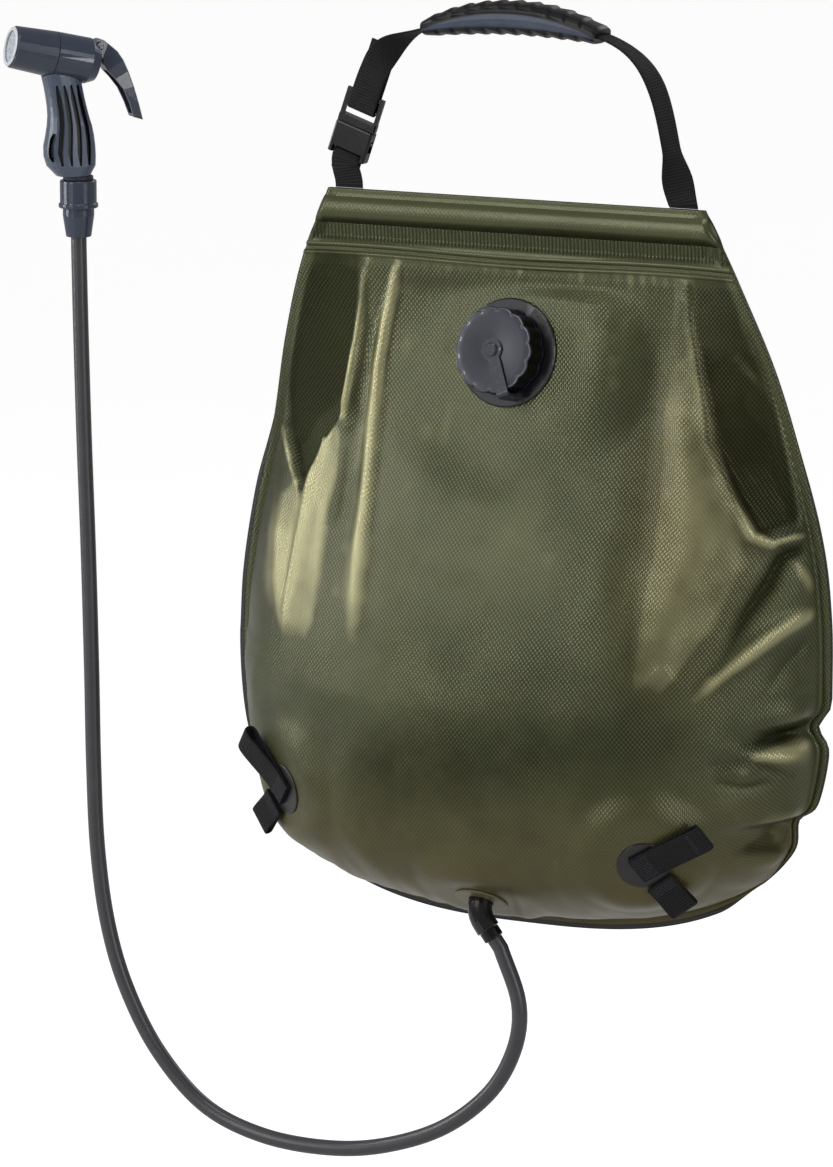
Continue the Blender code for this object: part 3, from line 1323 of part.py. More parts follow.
def build_barrel(waterway):
    rear = -BARREL_REAR
    front = BARREL_SPLIT + SPIGOT_LENGTH
    stem_hole = STEM_RADIUS + RUNNING_GAP
    barrel = (
        (SPIGOT_RADIUS, front),
        (SPIGOT_RADIUS, BARREL_SPLIT),
        (BARREL_RADIUS, BARREL_SPLIT),
        (BARREL_RADIUS, rear + BARREL_CHAMFER),
        (BARREL_REAR_RADIUS, rear),
        (stem_hole, rear),
        (stem_hole, rear + REAR_WALL),
        (BARREL_BORE_RADIUS, rear + REAR_WALL),
        (BARREL_BORE_RADIUS, front),
    )
    body = turned("barrel_body", barrel, BLUE_GREY, 0.25, BARREL)
    notch = LEVER_HEAD_WIDTH / 2 + RUNNING_GAP
    ear = rod_mesh("ears", EAR_RADIUS, -notch - EAR_WALL, notch + EAR_WALL)
    combine(body, cutter("ears", ear, PIN_FRAME), "UNION")
    room = rod_mesh("notch", LEVER_HEAD_RADIUS + RUNNING_GAP, -notch, notch)
    combine(body, cutter("notch", room, PIN_FRAME))
    pin_hole = rod_mesh("ear holes", LEVER_PIN_RADIUS + SEAT_GAP, -BARREL_RADIUS, BARREL_RADIUS, 16)
    combine(body, cutter("ear holes", pin_hole, PIN_FRAME))
    combine(body, waterway)

    low, top = BARREL_SPLIT + SEAT_GAP, BARREL_SPLIT + SLEEVE_LENGTH
    step = front + SEAT_GAP
    recess = top - SPRAY_THICKNESS - SEAT_GAP
    sleeve = (
        (BARREL_FRONT_RADIUS - EDGE_ROUND, top),
        (BARREL_FRONT_RADIUS, top - EDGE_ROUND),
        (BARREL_RADIUS, low),
        (SPIGOT_RADIUS + SEAT_GAP, low),
        (SPIGOT_RADIUS + SEAT_GAP, step),
        (SLEEVE_MOUTH_RADIUS, step),
        (SLEEVE_MOUTH_RADIUS, recess),
        (SPRAY_RADIUS + SEAT_GAP, recess),
        (SPRAY_RADIUS + SEAT_GAP, top),
    )
    turned("nozzle_sleeve", sleeve, BLUE_GREY, 0.25, BARREL)
    disc = rod_mesh("spray_plate", SPRAY_RADIUS, top - SPRAY_THICKNESS, top, 32)
    plate = place("spray_plate", disc, BLACK, 0.4, BARREL)
    bm = bmesh.new()
    for share in SPRAY_HOLE_RINGS_SHARES:
        for i in range(SPRAY_HOLES):
            angle = 2 * math.pi * i / SPRAY_HOLES
            spot = Vector((math.cos(angle), math.sin(angle), 0)) * (SPRAY_RADIUS * share)
            made = bmesh.ops.create_cone(
                bm,
                cap_ends=True,
                segments=6,
                radius1=SPRAY_HOLE_RADIUS,
                radius2=SPRAY_HOLE_RADIUS,
                depth=2 * CUT_OVERRUN + SPRAY_THICKNESS,
            )
            spot.z = top - SPRAY_THICKNESS / 2
            bmesh.ops.translate(bm, verts=made["verts"], vec=spot)
    combine(plate, cutter("spray holes", mesh_of(bm, "spray holes"), BARREL))
    lip = SPRAY_RADIUS - SPRAY_RING_LIP
    face = top + SEAT_GAP
    ring = (
        (lip + SPRAY_RING_WALL - SPRAY_RING_HEIGHT / 2, face + SPRAY_RING_HEIGHT),
        (lip + SPRAY_RING_WALL, face + SPRAY_RING_HEIGHT / 2),
        (lip + SPRAY_RING_WALL, face),
        (lip, face),
        (lip, face + SPRAY_RING_HEIGHT),
    )
    turned("spray_ring", ring, CHROME, 0.15, BARREL)

    disc = rear + REAR_WALL + SEAT_GAP
    retainer = BARREL_SPLIT
    valve = (
        (0, retainer),
        (STEM_RADIUS, retainer),
        (STEM_RADIUS, disc + VALVE_THICKNESS),
        (VALVE_RADIUS, disc + VALVE_THICKNESS),
        (VALVE_RADIUS, disc),
        (STEM_RADIUS, disc),
        (STEM_RADIUS, rear - STEM_REACH),
        (0, rear - STEM_REACH),
    )
    turned("valve_plunger", valve, BLACK, 0.4, BARREL, SMALL_STEPS)
    holder = (
        (BARREL_BORE_RADIUS - SEAT_GAP, retainer + RETAINER_THICKNESS),
        (BARREL_BORE_RADIUS - SEAT_GAP, retainer),
        (RETAINER_BORE_RADIUS, retainer),
        (RETAINER_BORE_RADIUS, retainer + RETAINER_THICKNESS),
    )
    turned("spring_retainer", holder, BLACK, 0.5, BARREL, SMALL_STEPS)
    spring = bpy.data.curves.new("valve_spring", "CURVE")
    spring.dimensions = "3D"
    line = spring.splines.new("POLY")
    count = SPRING_TURNS * SPRING_STEPS
    line.points.add(count)
    low = disc + VALVE_THICKNESS + SEAT_GAP + SPRING_WIRE
    high = retainer - SEAT_GAP - SPRING_WIRE
    for i, knot in enumerate(line.points):
        angle = 2 * math.pi * i / SPRING_STEPS
        height = low + (high - low) * i / count
        knot.co = (SPRING_RADIUS * math.cos(angle), SPRING_RADIUS * math.sin(angle), height, 1)
    spring.bevel_depth = SPRING_WIRE
    spring.bevel_resolution = 1
    spring.use_fill_caps = True
    place("valve_spring", spring, STEEL, 0.3, BARREL, 1.0)


def build_lever():
    rings, spaces = [], []
    size = Matrix.Diagonal((LEVER_REACH, 1, LEVER_DROP))
    for i, width in enumerate(LEVER_WIDTHS):
        outer = LEVER_PIN + size @ Vector((LEVER_OUTER_SHARES[i][0], 0, LEVER_OUTER_SHARES[i][1]))
        inner = LEVER_PIN + size @ Vector((LEVER_INNER_SHARES[i][0], 0, LEVER_INNER_SHARES[i][1]))
        inward = (inner - outer).normalized()
        side = Y_AXIS * (width / 2)
        soft = inward * EDGE_ROUND
        edge = side - Y_AXIS * EDGE_ROUND
        ring = (outer - edge, outer + edge, outer + side + soft)
        ring += (inner + side, inner - side, outer - side + soft)
        rings.append(ring)
        if i < LEVER_HOLLOW_FROM:
            continue
        near = outer + inward * LEVER_WALL
        far = inner + inward * CUT_OVERRUN
        if i == len(LEVER_WIDTHS) - 1:
            near.z += LEVER_WALL
            far.z += LEVER_WALL
        side -= Y_AXIS * LEVER_WALL
        spaces.append((near - side, near + side, far + side, far - side))
    lever = place("trigger_lever", loft_mesh("trigger_lever", rings), BLUE_GREY, 0.25, HEAD)
    half = LEVER_HEAD_WIDTH / 2
    head = rod_mesh("lever head", LEVER_HEAD_RADIUS, -half, half)
    combine(lever, cutter("lever head", head, PIN_FRAME), "UNION")
    combine(lever, cutter("lever space", loft_mesh("lever space", spaces), HEAD))
    beyond = half + CUT_OVERRUN
    hole = rod_mesh("lever hole", LEVER_PIN_RADIUS + SEAT_GAP, -beyond, beyond, 16)
    combine(lever, cutter("lever hole", hole, PIN_FRAME))
    reach = half + RUNNING_GAP + EAR_WALL - SEAT_GAP
    pin = rod_mesh("lever_pin", LEVER_PIN_RADIUS, -reach, reach, 16)
    place("lever_pin", pin, STEEL, 0.25, PIN_FRAME, 1.0)


build_bag()
build_strap_and_grip()
build_hem()
build_buckle()
build_filler()
build_outlet_and_hose()
build_patches()
build_barrel(build_handle())
build_lever()
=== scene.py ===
import math

import bmesh
import bpy
import numpy as np
from mathutils import Matrix, Vector


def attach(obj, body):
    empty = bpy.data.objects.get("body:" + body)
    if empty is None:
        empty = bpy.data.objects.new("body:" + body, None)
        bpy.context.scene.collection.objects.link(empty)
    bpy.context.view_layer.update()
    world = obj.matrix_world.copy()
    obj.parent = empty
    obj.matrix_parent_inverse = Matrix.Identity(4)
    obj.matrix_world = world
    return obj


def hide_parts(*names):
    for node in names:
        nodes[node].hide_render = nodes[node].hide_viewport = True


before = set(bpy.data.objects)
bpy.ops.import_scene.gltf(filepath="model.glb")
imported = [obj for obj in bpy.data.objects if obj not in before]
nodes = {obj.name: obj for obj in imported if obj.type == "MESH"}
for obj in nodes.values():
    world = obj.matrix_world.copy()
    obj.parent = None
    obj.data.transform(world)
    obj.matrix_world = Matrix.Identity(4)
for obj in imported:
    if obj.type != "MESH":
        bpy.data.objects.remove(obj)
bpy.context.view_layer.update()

# Camera, at the photograph's angle

CAMERA_AZIMUTH = math.radians(26)
CAMERA_ELEVATION = math.radians(11)
CAMERA_DISTANCE = 5.0
METRES_PER_PIXEL = 0.0008
PHOTO_WIDTH = 833
PHOTO_HEIGHT = 1167
ORIGIN_PIXEL = (515, 33)
SENSOR = 36.0
CAMERA_FAR = 60.0


def build_camera():
    a, e = CAMERA_AZIMUTH, CAMERA_ELEVATION
    right = Vector((math.cos(a), math.sin(a), 0))
    up = Vector((-math.sin(a) * math.sin(e), math.cos(a) * math.sin(e), math.cos(e)))
    back = right.cross(up)
    across = (PHOTO_WIDTH / 2 - ORIGIN_PIXEL[0]) * METRES_PER_PIXEL
    above = (ORIGIN_PIXEL[1] - PHOTO_HEIGHT / 2) * METRES_PER_PIXEL
    aim = right * across + up * above
    data = bpy.data.cameras.new("camera")
    data.sensor_width = SENSOR
    data.lens = SENSOR * CAMERA_DISTANCE / METRES_PER_PIXEL / PHOTO_HEIGHT
    data.clip_end = CAMERA_FAR
    camera = bpy.data.objects.new("camera", data)
    bpy.context.scene.collection.objects.link(camera)
    turn = Matrix((right, up, back)).transposed().to_4x4()
    camera.matrix_world = Matrix.Translation(aim + back * CAMERA_DISTANCE) @ turn
    bpy.context.scene.camera = camera


build_camera()


# Meshes

def object_of(name, mesh, body=None, replaced=()):
    item = bpy.data.objects.new(name, mesh)
    bpy.context.scene.collection.objects.link(item)
    if replaced:
        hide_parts(*replaced)
    if body:
        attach(item, body)
    return item


def mesh_of(bm, name, angle=40):
    bmesh.ops.recalc_face_normals(bm, faces=bm.faces)
    mesh = bpy.data.meshes.new(name)
    bm.to_mesh(mesh)
    bm.free()
    mesh.shade_smooth()
    mesh.set_sharp_from_angle(angle=math.radians(angle))
    return mesh


def skin(name, rings, closed=False, places=None, angle=40):
    """A skin over rings of equally many points. Places are its points' places on the flat cloth."""
    bm = bmesh.new()
    layer = bm.verts.layers.float_vector.new("cloth") if places is not None else None
    rows = []
    for i, ring in enumerate(rings):
        row = [bm.verts.new(Vector(point)) for point in ring]
        if layer is not None:
            for vert, where in zip(row, places[i]):
                vert[layer] = Vector((where[0], where[1], 0))
        rows.append(row)
    count = len(rows[0])
    pairs = list(zip(rows, rows[1:])) + ([(rows[-1], rows[0])] if closed else [])
    for low, high in pairs:
        for i in range(count):
            j = (i + 1) % count
            bm.faces.new((low[i], low[j], high[j], high[i]))
    if not closed:
        bm.faces.new(list(reversed(rows[0])))
        bm.faces.new(rows[-1])
    return mesh_of(bm, name, angle=angle)


def axes_frame(point, along_x, along_z):
    """A frame at a point, with its z along one direction and its x near another."""
    z = Vector(along_z).normalized()
    y = z.cross(Vector(along_x)).normalized()
    turn = Matrix((y.cross(z), y, z)).transposed()
    return Matrix.Translation(point) @ turn.to_4x4()


def ease(t):
    t = np.clip(t, 0.0, 1.0)
    return t * t * (3 - 2 * t)


def hermite(x, places, values):
    """Values on a smooth curve through places and values."""
    p, q = np.array(places, float), np.array(values, float)
    x = np.asarray(x, float)
    i = np.clip(np.searchsorted(p, x, side="left") - 1, 0, len(p) - 2)
    low = np.maximum(np.arange(len(p)) - 1, 0)
    high = np.minimum(np.arange(len(p)) + 1, len(p) - 1)
    slope = (q[high] - q[low]) / (p[high] - p[low])
    span = p[i + 1] - p[i]
    t = (x - p[i]) / span
    return (
        (2 * t**3 - 3 * t**2 + 1) * q[i]
        + (t**3 - 2 * t**2 + t) * span * slope[i]
        + (3 * t**2 - 2 * t**3) * q[i + 1]
        + (t**3 - t**2) * span * slope[i + 1]
    )


def through(points, count):
    """Evenly spaced points on a smooth curve through chosen points."""
    p = np.array(points, float)
    steps = np.sqrt(np.linalg.norm(np.diff(p, axis=0), axis=1))
    times = np.concatenate([[0], np.cumsum(steps)])
    fine = np.linspace(0, times[-1], 40 * len(p))
    dense = np.stack([hermite(fine, times, p[:, k]) for k in range(p.shape[1])], 1)
    reach = np.concatenate([[0], np.cumsum(np.linalg.norm(np.diff(dense, axis=0), axis=1))])
    even = np.linspace(0, reach[-1], count)
    return np.stack([np.interp(even, reach, dense[:, k]) for k in range(p.shape[1])], 1)


# Materials

class Value:
    """A number or a vector in a material's nodes, so that sums of them are written as sums."""

    def __init__(self, maker, socket):
        self.maker = maker
        self.socket = socket

    def __add__(self, other):
        return self.maker.math("ADD", self, other)

    def __mul__(self, other):
        return self.maker.math("MULTIPLY", self, other)

    def __sub__(self, other):
        return self.maker.math("SUBTRACT", self, other)

    def __rsub__(self, other):
        return self.maker.math("SUBTRACT", other, self)

    def __truediv__(self, other):
        return self.maker.math("DIVIDE", self, other)


class Nodes:
    """A small helper to write the nodes of a material, or of the world."""

    def __init__(self, name, world=False):
        self.owner = bpy.data.worlds.new(name) if world else bpy.data.materials.new(name)
        self.owner.use_nodes = True
        self.tree = self.owner.node_tree
        self.shader = self.tree.nodes["Background" if world else "Principled BSDF"]

    def node(self, kind, inputs=(), **settings):
        node = self.tree.nodes.new(kind)
        for key, value in settings.items():
            setattr(node, key, value)
        for key, value in dict(inputs).items():
            self.feed(node.inputs[key], value)
        return node

    def put(self, kind, inputs=(), output=0, **settings):
        return Value(self, self.node(kind, inputs, **settings).outputs[output])

    def feed(self, socket, value):
        if isinstance(value, Value):
            self.tree.links.new(value.socket, socket)
        elif isinstance(value, (tuple, list)) and len(value) == 3 and socket.type == "RGBA":
            socket.default_value = (*value, 1)
        else:
            socket.default_value = value

    def parts(self, vector):
        return [Value(self, socket) for socket in self.node("ShaderNodeSeparateXYZ", {0: vector}).outputs]

    def math(self, operation, a, b=0.0, c=0.0, clamp=False):
        return self.put("ShaderNodeMath", {0: a, 1: b, 2: c}, operation=operation, use_clamp=clamp)

    def wave(self, operation, value, period):
        return self.math(operation, value * (2 * math.pi / period))

    def mix(self, share, a, b):
        return self.put("ShaderNodeMix", {0: share, 6: a, 7: b}, 2, data_type="RGBA")

    def ramp(self, value, low, high, start=0.0, end=1.0):
        return self.put("ShaderNodeMapRange", {0: value, 1: low, 2: high, 3: start, 4: end})

    def noise(self, where, scale, detail=3.0, roughness=0.55, distortion=0.0):
        inputs = {"Vector": where, "Scale": scale, "Detail": detail, "Roughness": roughness}
        return self.put("ShaderNodeTexNoise", {**inputs, "Distortion": distortion})

    def bump(self, height, distance, strength):
        return self.put("ShaderNodeBump", {"Height": height, "Distance": distance, "Strength": strength})

    def watched(self, glossy_share):
        """1 where the camera looks, also through clear pieces, and a share of that in reflections."""
        path = self.node("ShaderNodeLightPath").outputs
        camera = Value(self, path["Is Camera Ray"])
        glossy = Value(self, path["Is Glossy Ray"])
        clear = Value(self, path["Is Transmission Ray"])
        return self.math("MAXIMUM", camera, self.math("MAXIMUM", glossy * glossy_share, clear))

    def finish(self, colour, roughness, normal=None, **sockets):
        self.feed(self.shader.inputs["Base Color"], colour)
        self.feed(self.shader.inputs["Roughness"], roughness)
        if normal is not None:
            self.feed(self.shader.inputs["Normal"], normal)
        for key, value in sockets.items():
            self.feed(self.shader.inputs[key.replace("_", " ")], value)
        return self.owner


def linear(r, g, b):
    """A colour from its values in the photograph's scale of 0 to 255."""
    shares = [c / 255 for c in (r, g, b)]
    return tuple(c / 12.92 if c <= 0.04045 else ((c + 0.055) / 1.055) ** 2.4 for c in shares)


def tinted(colour, share, lift=0.0):
    return tuple(min(c * share + lift, 1) for c in colour)


def moulded(name, rgb, roughness, grain=900.0, depth=0.00002, spread=0.14, edge=0.5, **sockets):
    """Moulded plastic: fine grain, a slow change of shade, scuffs, and paler worn edges."""
    n = Nodes(name)
    colour = linear(*rgb)
    where = n.put("ShaderNodeTexCoord", output="Object")
    slow = n.noise(where, 38.0, 2.0)
    fine = n.noise(where, grain, 4.0)
    scuff = n.noise(where, 260.0, 6.0, 0.7, 1.2)
    worn = n.ramp(n.put("ShaderNodeNewGeometry", output="Pointiness"), 0.53, 0.62) * edge
    shade = n.mix(slow, tinted(colour, 1 - spread), tinted(colour, 1 + spread, 0.002))
    shade = n.mix(worn * n.ramp(scuff, 0.35, 0.7), shade, tinted(colour, 1.9, 0.012))
    rough = n.math("ADD", roughness, (scuff - 0.5) * 0.22, clamp=True)
    return n.finish(shade, rough, n.bump(fine, depth, 0.6), **sockets)


# Periods and depths of the woven and embossed patterns, in metres
WEBBING_RIB = 0.0024
WEBBING_YARN = 0.0011
WEBBING_EDGE = 0.0012
WEBBING_WOBBLE = 0.0012
DIAMOND_WIDTH = 0.0036
DIAMOND_HEIGHT = 0.0043
HEM_RIB = 0.0032
SELVEDGE = (0.0102, 0.0112)
WEAVE_DEPTH = 0.0004
FRONT_EMBOSS = 0.00024
BACK_EMBOSS = 0.0002
FINE_GRAIN = 0.00002


def webbing(name, colour):
    """Ribbed strap webbing: cross ribs of twisted yarn with a woven edge, in the strap's own flat place."""
    n = Nodes(name)
    place = n.put("ShaderNodeAttribute", output="Vector", attribute_name="cloth")
    s, t, _ = n.parts(place)
    wobble = (n.noise(place, 180.0, 2.0) - 0.5) * WEBBING_WOBBLE
    rib = n.wave("SINE", s + wobble, WEBBING_RIB)
    yarn = n.math("SINE", t * (2 * math.pi / WEBBING_YARN) + rib * 1.2)
    edge = n.ramp(n.math("ABSOLUTE", t), *SELVEDGE)
    weave = n.wave("SINE", s, WEBBING_EDGE) * 0.35
    fuzz = n.noise(place, 2600.0, 3.0)
    height = rib * 0.5 + yarn * 0.22 + edge * weave + fuzz * 0.35
    # Painted shade in the weave's low parts and painted highlights on its crests, by its height
    shade = n.mix(n.ramp(height, -0.6, 0.9), tinted(colour, 0.25), tinted(colour, 2.4, 0.008))
    dust = n.ramp(n.noise(place, 45.0, 4.0), 0.45, 0.75) * 0.35
    shade = n.mix(dust, shade, tinted(colour, 2.2, 0.006))
    return n.finish(shade, 0.72, n.bump(height, WEAVE_DEPTH, 0.9), Specular_IOR_Level=0.18)


# Heights of the sheet's zones, each from its start to where it is full, and the painted warm highlight right
# of the middle
HEM_RIB_LOW = (-0.1775, -0.174)
HEM_RIB_HIGH = (-0.158, -0.162)
BODY_ZONE = (-0.192, -0.197)
SMOOTH_ZONE = (-0.56, -0.69)
PAINTED_SHEEN_PLACE = (0.165, -0.38)
PAINTED_SHEEN_SIZE = (0.055, 0.15)
PAINTED_SHEEN_RGB = (112, 98, 56)
PAINTED_HIGHLIGHT_SHARES = (2.95, 2.6, 3.0)


def pvc(name, colour, groove, low_colour, roughness, emboss, metallic):
    """Embossed PVC sheet: staggered diamonds with painted shade in their grooves, fine ribs across the hem,
    smoother near the bottom; painted shade in the folds' valleys and painted highlights on their ridges, from
    each point's painted tone.
    """
    n = Nodes(name)
    place = n.put("ShaderNodeAttribute", output="Vector", attribute_name="cloth")
    s, t, painted_tone = n.parts(place)
    object_place = n.put("ShaderNodeTexCoord", output="Object")
    x, _, z = n.parts(object_place)
    waves = n.wave("COSINE", s, DIAMOND_WIDTH) + n.wave("COSINE", t, DIAMOND_HEIGHT)
    cell = n.math("POWER", n.math("ABSOLUTE", waves * 0.5), 0.85)
    rib = n.wave("SINE", s, HEM_RIB)
    body = n.ramp(z, *BODY_ZONE)
    hem = n.ramp(z, *HEM_RIB_LOW) * n.ramp(z, *HEM_RIB_HIGH)
    smooth = n.ramp(z, *SMOOTH_ZONE)
    patchy = n.noise(object_place, 9.0, 3.0)
    strength = (1.0 - smooth * 0.75) * n.ramp(patchy, 0.25, 0.65, 0.75, 1.15)
    strength = strength * n.ramp(body, 0.0, 1.0, 0.35, 1.0)
    mottled = n.noise(object_place, 5.5, 4.0, 0.6)
    shade = n.mix(n.ramp(mottled, 0.3, 0.7), tinted(colour, 0.90), tinted(colour, 1.10))
    # Painted warm highlight: a paler, warmer patch right of the middle
    if metallic:
        across = (x - PAINTED_SHEEN_PLACE[0]) / PAINTED_SHEEN_SIZE[0]
        down = (z - PAINTED_SHEEN_PLACE[1]) / PAINTED_SHEEN_SIZE[1]
        away = n.math("SQRT", across * across + down * down)
        shade = n.mix(n.ramp(away, 1.3, 0.2, 0.0, 0.55), shade, linear(*PAINTED_SHEEN_RGB))
    shade = n.mix(smooth * 0.85, shade, low_colour)
    # Painted shade in the emboss's grooves: darker between the diamonds
    shade = n.mix(n.math("MULTIPLY", 1.0 - cell, strength * 0.9, clamp=True), shade, groove)
    shade = n.mix((1.0 - body) * 0.35, shade, groove)
    # Painted shade where the painted tone is positive, in the folds' valleys and across the lower body; the
    # same mask raises roughness and metallic there
    painted_shade_mask = n.ramp(painted_tone, 0.0, 1.0)
    shade = n.mix(painted_shade_mask * 0.68, shade, tinted(groove, 0.25))
    # Painted highlight where the painted tone is negative, on the folds' ridges
    painted_highlight = tuple(min(c * share + 0.065, 1) for c, share in zip(colour, PAINTED_HIGHLIGHT_SHARES))
    shade = n.mix(n.ramp(painted_tone, -0.1, -1.0, 0.0, 0.85), shade, painted_highlight)
    shade = n.mix(hem * n.ramp(rib, -1.0, 1.0, 0.0, 0.35), shade, groove)
    height = cell * strength + n.noise(place, 1500.0, 3.0) * 0.10 + rib * hem * 0.8
    rough = (patchy - 0.5) * 0.10 + roughness + smooth * 0.06 + painted_shade_mask * 0.12
    if metallic:
        metallic = n.math("SUBTRACT", painted_shade_mask * 0.5 + metallic, smooth * 0.12, clamp=True)
    return n.finish(shade, rough, n.bump(height, emboss, 0.8), Specular_IOR_Level=0.5, Metallic=metallic)


def hose_material():
    n = Nodes("hose_pvc")
    where = n.put("ShaderNodeTexCoord", output="Object")
    dull = n.noise(where, 60.0, 5.0, 0.65)
    shade = n.mix(n.noise(where, 14.0, 3.0), linear(50, 50, 54), linear(66, 66, 70))
    shade = n.mix(n.ramp(dull, 0.55, 0.8) * 0.3, shade, linear(84, 84, 88))
    normal = n.bump(n.noise(where, 700.0, 4.0), FINE_GRAIN, 0.5)
    return n.finish(shade, dull * 0.16 + 0.27, normal, Specular_IOR_Level=0.5)


# The groove colours are the painted shade of the emboss's grooves and, on the front, of the folds' valleys
OLIVE = linear(92, 95, 58)
OLIVE_GROOVE = linear(30, 33, 18)
OLIVE_LOW = linear(86, 75, 34)
BACK_BLACK = linear(26, 26, 27)
BACK_GROOVE = linear(14, 14, 15)
BACK_LOW = linear(24, 23, 23)
front_finish = pvc("front_pvc", OLIVE, OLIVE_GROOVE, OLIVE_LOW, 0.32, FRONT_EMBOSS, 0.38)
back_finish = pvc("back_pvc", BACK_BLACK, BACK_GROOVE, BACK_LOW, 0.40, BACK_EMBOSS, 0.0)
strap_finish = webbing("black_webbing", linear(17, 17, 19))
hose_finish = hose_material()
black_gloss = moulded("black_gloss", (9, 9, 11), 0.2, edge=0.8, Specular_IOR_Level=0.3)
cap_plastic = moulded("cap_plastic", (22, 27, 42), 0.32, 1300.0, 0.00003, edge=0.9)
# Painted glint for the cap's rim and painted shade for its side: a paler and a darker copy of the cap's
# plastic
cap_rim_painted_glint = moulded("cap_rim_painted_glint", (88, 92, 102), 0.14, 1300.0, edge=0.9)
cap_side_painted_shade = moulded("cap_side_painted_shade", (5, 5, 6), 0.24, 1300.0, 0.00003, edge=0.9, Specular_IOR_Level=0.25)
# Set darker than the flange's own colour: painted shade for the shadow the cap casts
flange_painted_shade = moulded("flange_painted_shade", (24, 22, 27), 0.30, 1300.0, 0.00003)
tether_plastic = moulded("tether_plastic", (44, 46, 56), 0.26, 1200.0, 0.00003)
gasket_rubber = moulded("gasket_rubber", (24, 24, 24), 0.75, 1600.0, 0.00004)
elbow_plastic = moulded("elbow_plastic", (10, 10, 12), 0.15, 700.0, 0.00001)
patch_pvc = moulded("patch_pvc", (20, 20, 22), 0.38, 1500.0, 0.00005)
ring_pvc = moulded("ring_pvc", (92, 88, 54), 0.4, 1300.0, 0.00004)
head_gloss = moulded("head_gloss", (52, 60, 76), 0.18, 800.0, 0.000012)
head_matt = moulded("head_matt", (74, 83, 100), 0.32, 1100.0, 0.00003)
core_plastic = moulded("core_plastic", (7, 8, 11), 0.5, 1000.0, 0.00003)
nozzle_clear = moulded("nozzle_clear", (205, 208, 214), 0.12, 500.0, 0.00001, 0.05, edge=0.2)
spray_face = moulded("spray_face", (178, 182, 190), 0.2, 600.0, 0.00001, 0.1)
seal_rubber = moulded("seal_rubber", (24, 26, 30), 0.6, 1500.0, 0.00003)
steel = moulded("steel", (150, 150, 154), 0.28, 600.0, 0.00001, Metallic=1.0)
rod_plastic = moulded("rod_plastic", (30, 30, 30), 0.5)
stitch_finish = moulded("stitch_thread", (56, 54, 64), 0.6, 2600.0, 0.00005)


# Bag form, on the same outline and depths as the CAD panels

SEAT_GAP = 0.0003
BAG_TOP = -0.1335
BAG_HEIGHT = 0.603
BAG_HALF_WIDTH = 0.262
BAG_WALL = 0.0012
BAG_FRONT_DEPTH = 0.132
BAG_BACK_DEPTH = 0.050
BAG_SEAM_BACK = 0.036
WELD_WIDTH = 0.009
HEM_HEIGHT = 0.066
SIDE_HEIGHT_SHARES = (0.0, 0.09, 0.205, 0.326, 0.45, 0.55, 0.64)
SIDE_WIDTH_SHARES = (0.637, 0.735, 0.83, 0.90, 0.970, 1.003, 1.012)
SIDE_LEAN_SHARES = (0.0, 0.011, 0.036, 0.046, 0.032, 0.013, 0.0)
BOTTOM_CORNER_POWER = 2.7
SIDE_SPLIT_SHARE = 0.70
CORNER_ANGLE = math.radians(42.0)
FULLEST_SHARE = 0.70
ACROSS_POWERS = (2.3, 0.66)
UPPER_POWER = 1.8
LOWER_POWERS = (2.6, 0.62)
SEAT_BLEND = 0.022
SEAT_MARGIN = 0.003
SEAT_FADE_SHARE = 0.09
FILLER_SPREAD_SHARE = 3.0
SEAT_SPREAD_SHARE = 1.5
EDGE_SHARE = 0.02
SLOPE_STEP = 0.01
ROD_DROP = 0.017
ROD_CHANNEL_HALF_HEIGHT = 0.0115
ROD_CHANNEL_LENGTH = 0.352
STRAP_THICKNESS = 0.0018
STRAP_WIDTH = 0.025
STRAP_X = 0.1485
HINGE_Z = BAG_TOP + 0.0016
BOTTOM_SHARE = SIDE_HEIGHT_SHARES[-1]
ROD_Z = BAG_TOP - ROD_DROP
STRAP_SLOT = STRAP_THICKNESS / 2 + SEAT_GAP
ROD_LOOP_RADIUS = 0.004 + SEAT_GAP + STRAP_THICKNESS


def round_corner(angle):
    power = 2 / BOTTOM_CORNER_POWER
    cos, sin = np.cos(angle), np.sin(angle)
    across = SIDE_WIDTH_SHARES[-1] * np.copysign(np.abs(cos) ** power, cos)
    return across, BOTTOM_SHARE + (1 - BOTTOM_SHARE) * np.maximum(sin, 0.0) ** power


def outline(u, v):
    """A point of the flat bag: u runs from its left seam to its right one, v from its top to its bottom."""
    side = v < SIDE_SPLIT_SHARE
    drop_side = BOTTOM_SHARE * v / SIDE_SPLIT_SHARE
    past = np.maximum(v - SIDE_SPLIT_SHARE, 0) / (1 - SIDE_SPLIT_SHARE)
    half_low, drop_low = round_corner(CORNER_ANGLE * past)
    half = np.where(side, hermite(drop_side, SIDE_HEIGHT_SHARES, SIDE_WIDTH_SHARES), half_low)
    drop = np.where(side, drop_side, drop_low)
    lean = np.where(side, hermite(drop_side, SIDE_HEIGHT_SHARES, SIDE_LEAN_SHARES), 0.0)
    corner_across, corner_drop = round_corner(CORNER_ANGLE)
    low_across, low_drop = round_corner(CORNER_ANGLE + (math.pi - 2 * CORNER_ANGLE) * u)
    pull = v**3
    across = half * (2 * u - 1) - (low_across + corner_across * (2 * u - 1)) * pull
    drop = drop + (low_drop - corner_drop) * pull
    return BAG_HALF_WIDTH * (across + lean), BAG_TOP - BAG_HEIGHT * drop


def row_at(drop):
    return drop * SIDE_SPLIT_SHARE / (BOTTOM_SHARE * BAG_HEIGHT)


HEM_ROW = row_at(HEM_HEIGHT)
FULLEST_ROW = row_at(BAG_HEIGHT * FULLEST_SHARE)
LOWEST_ROW = 1 - row_at(WELD_WIDTH)


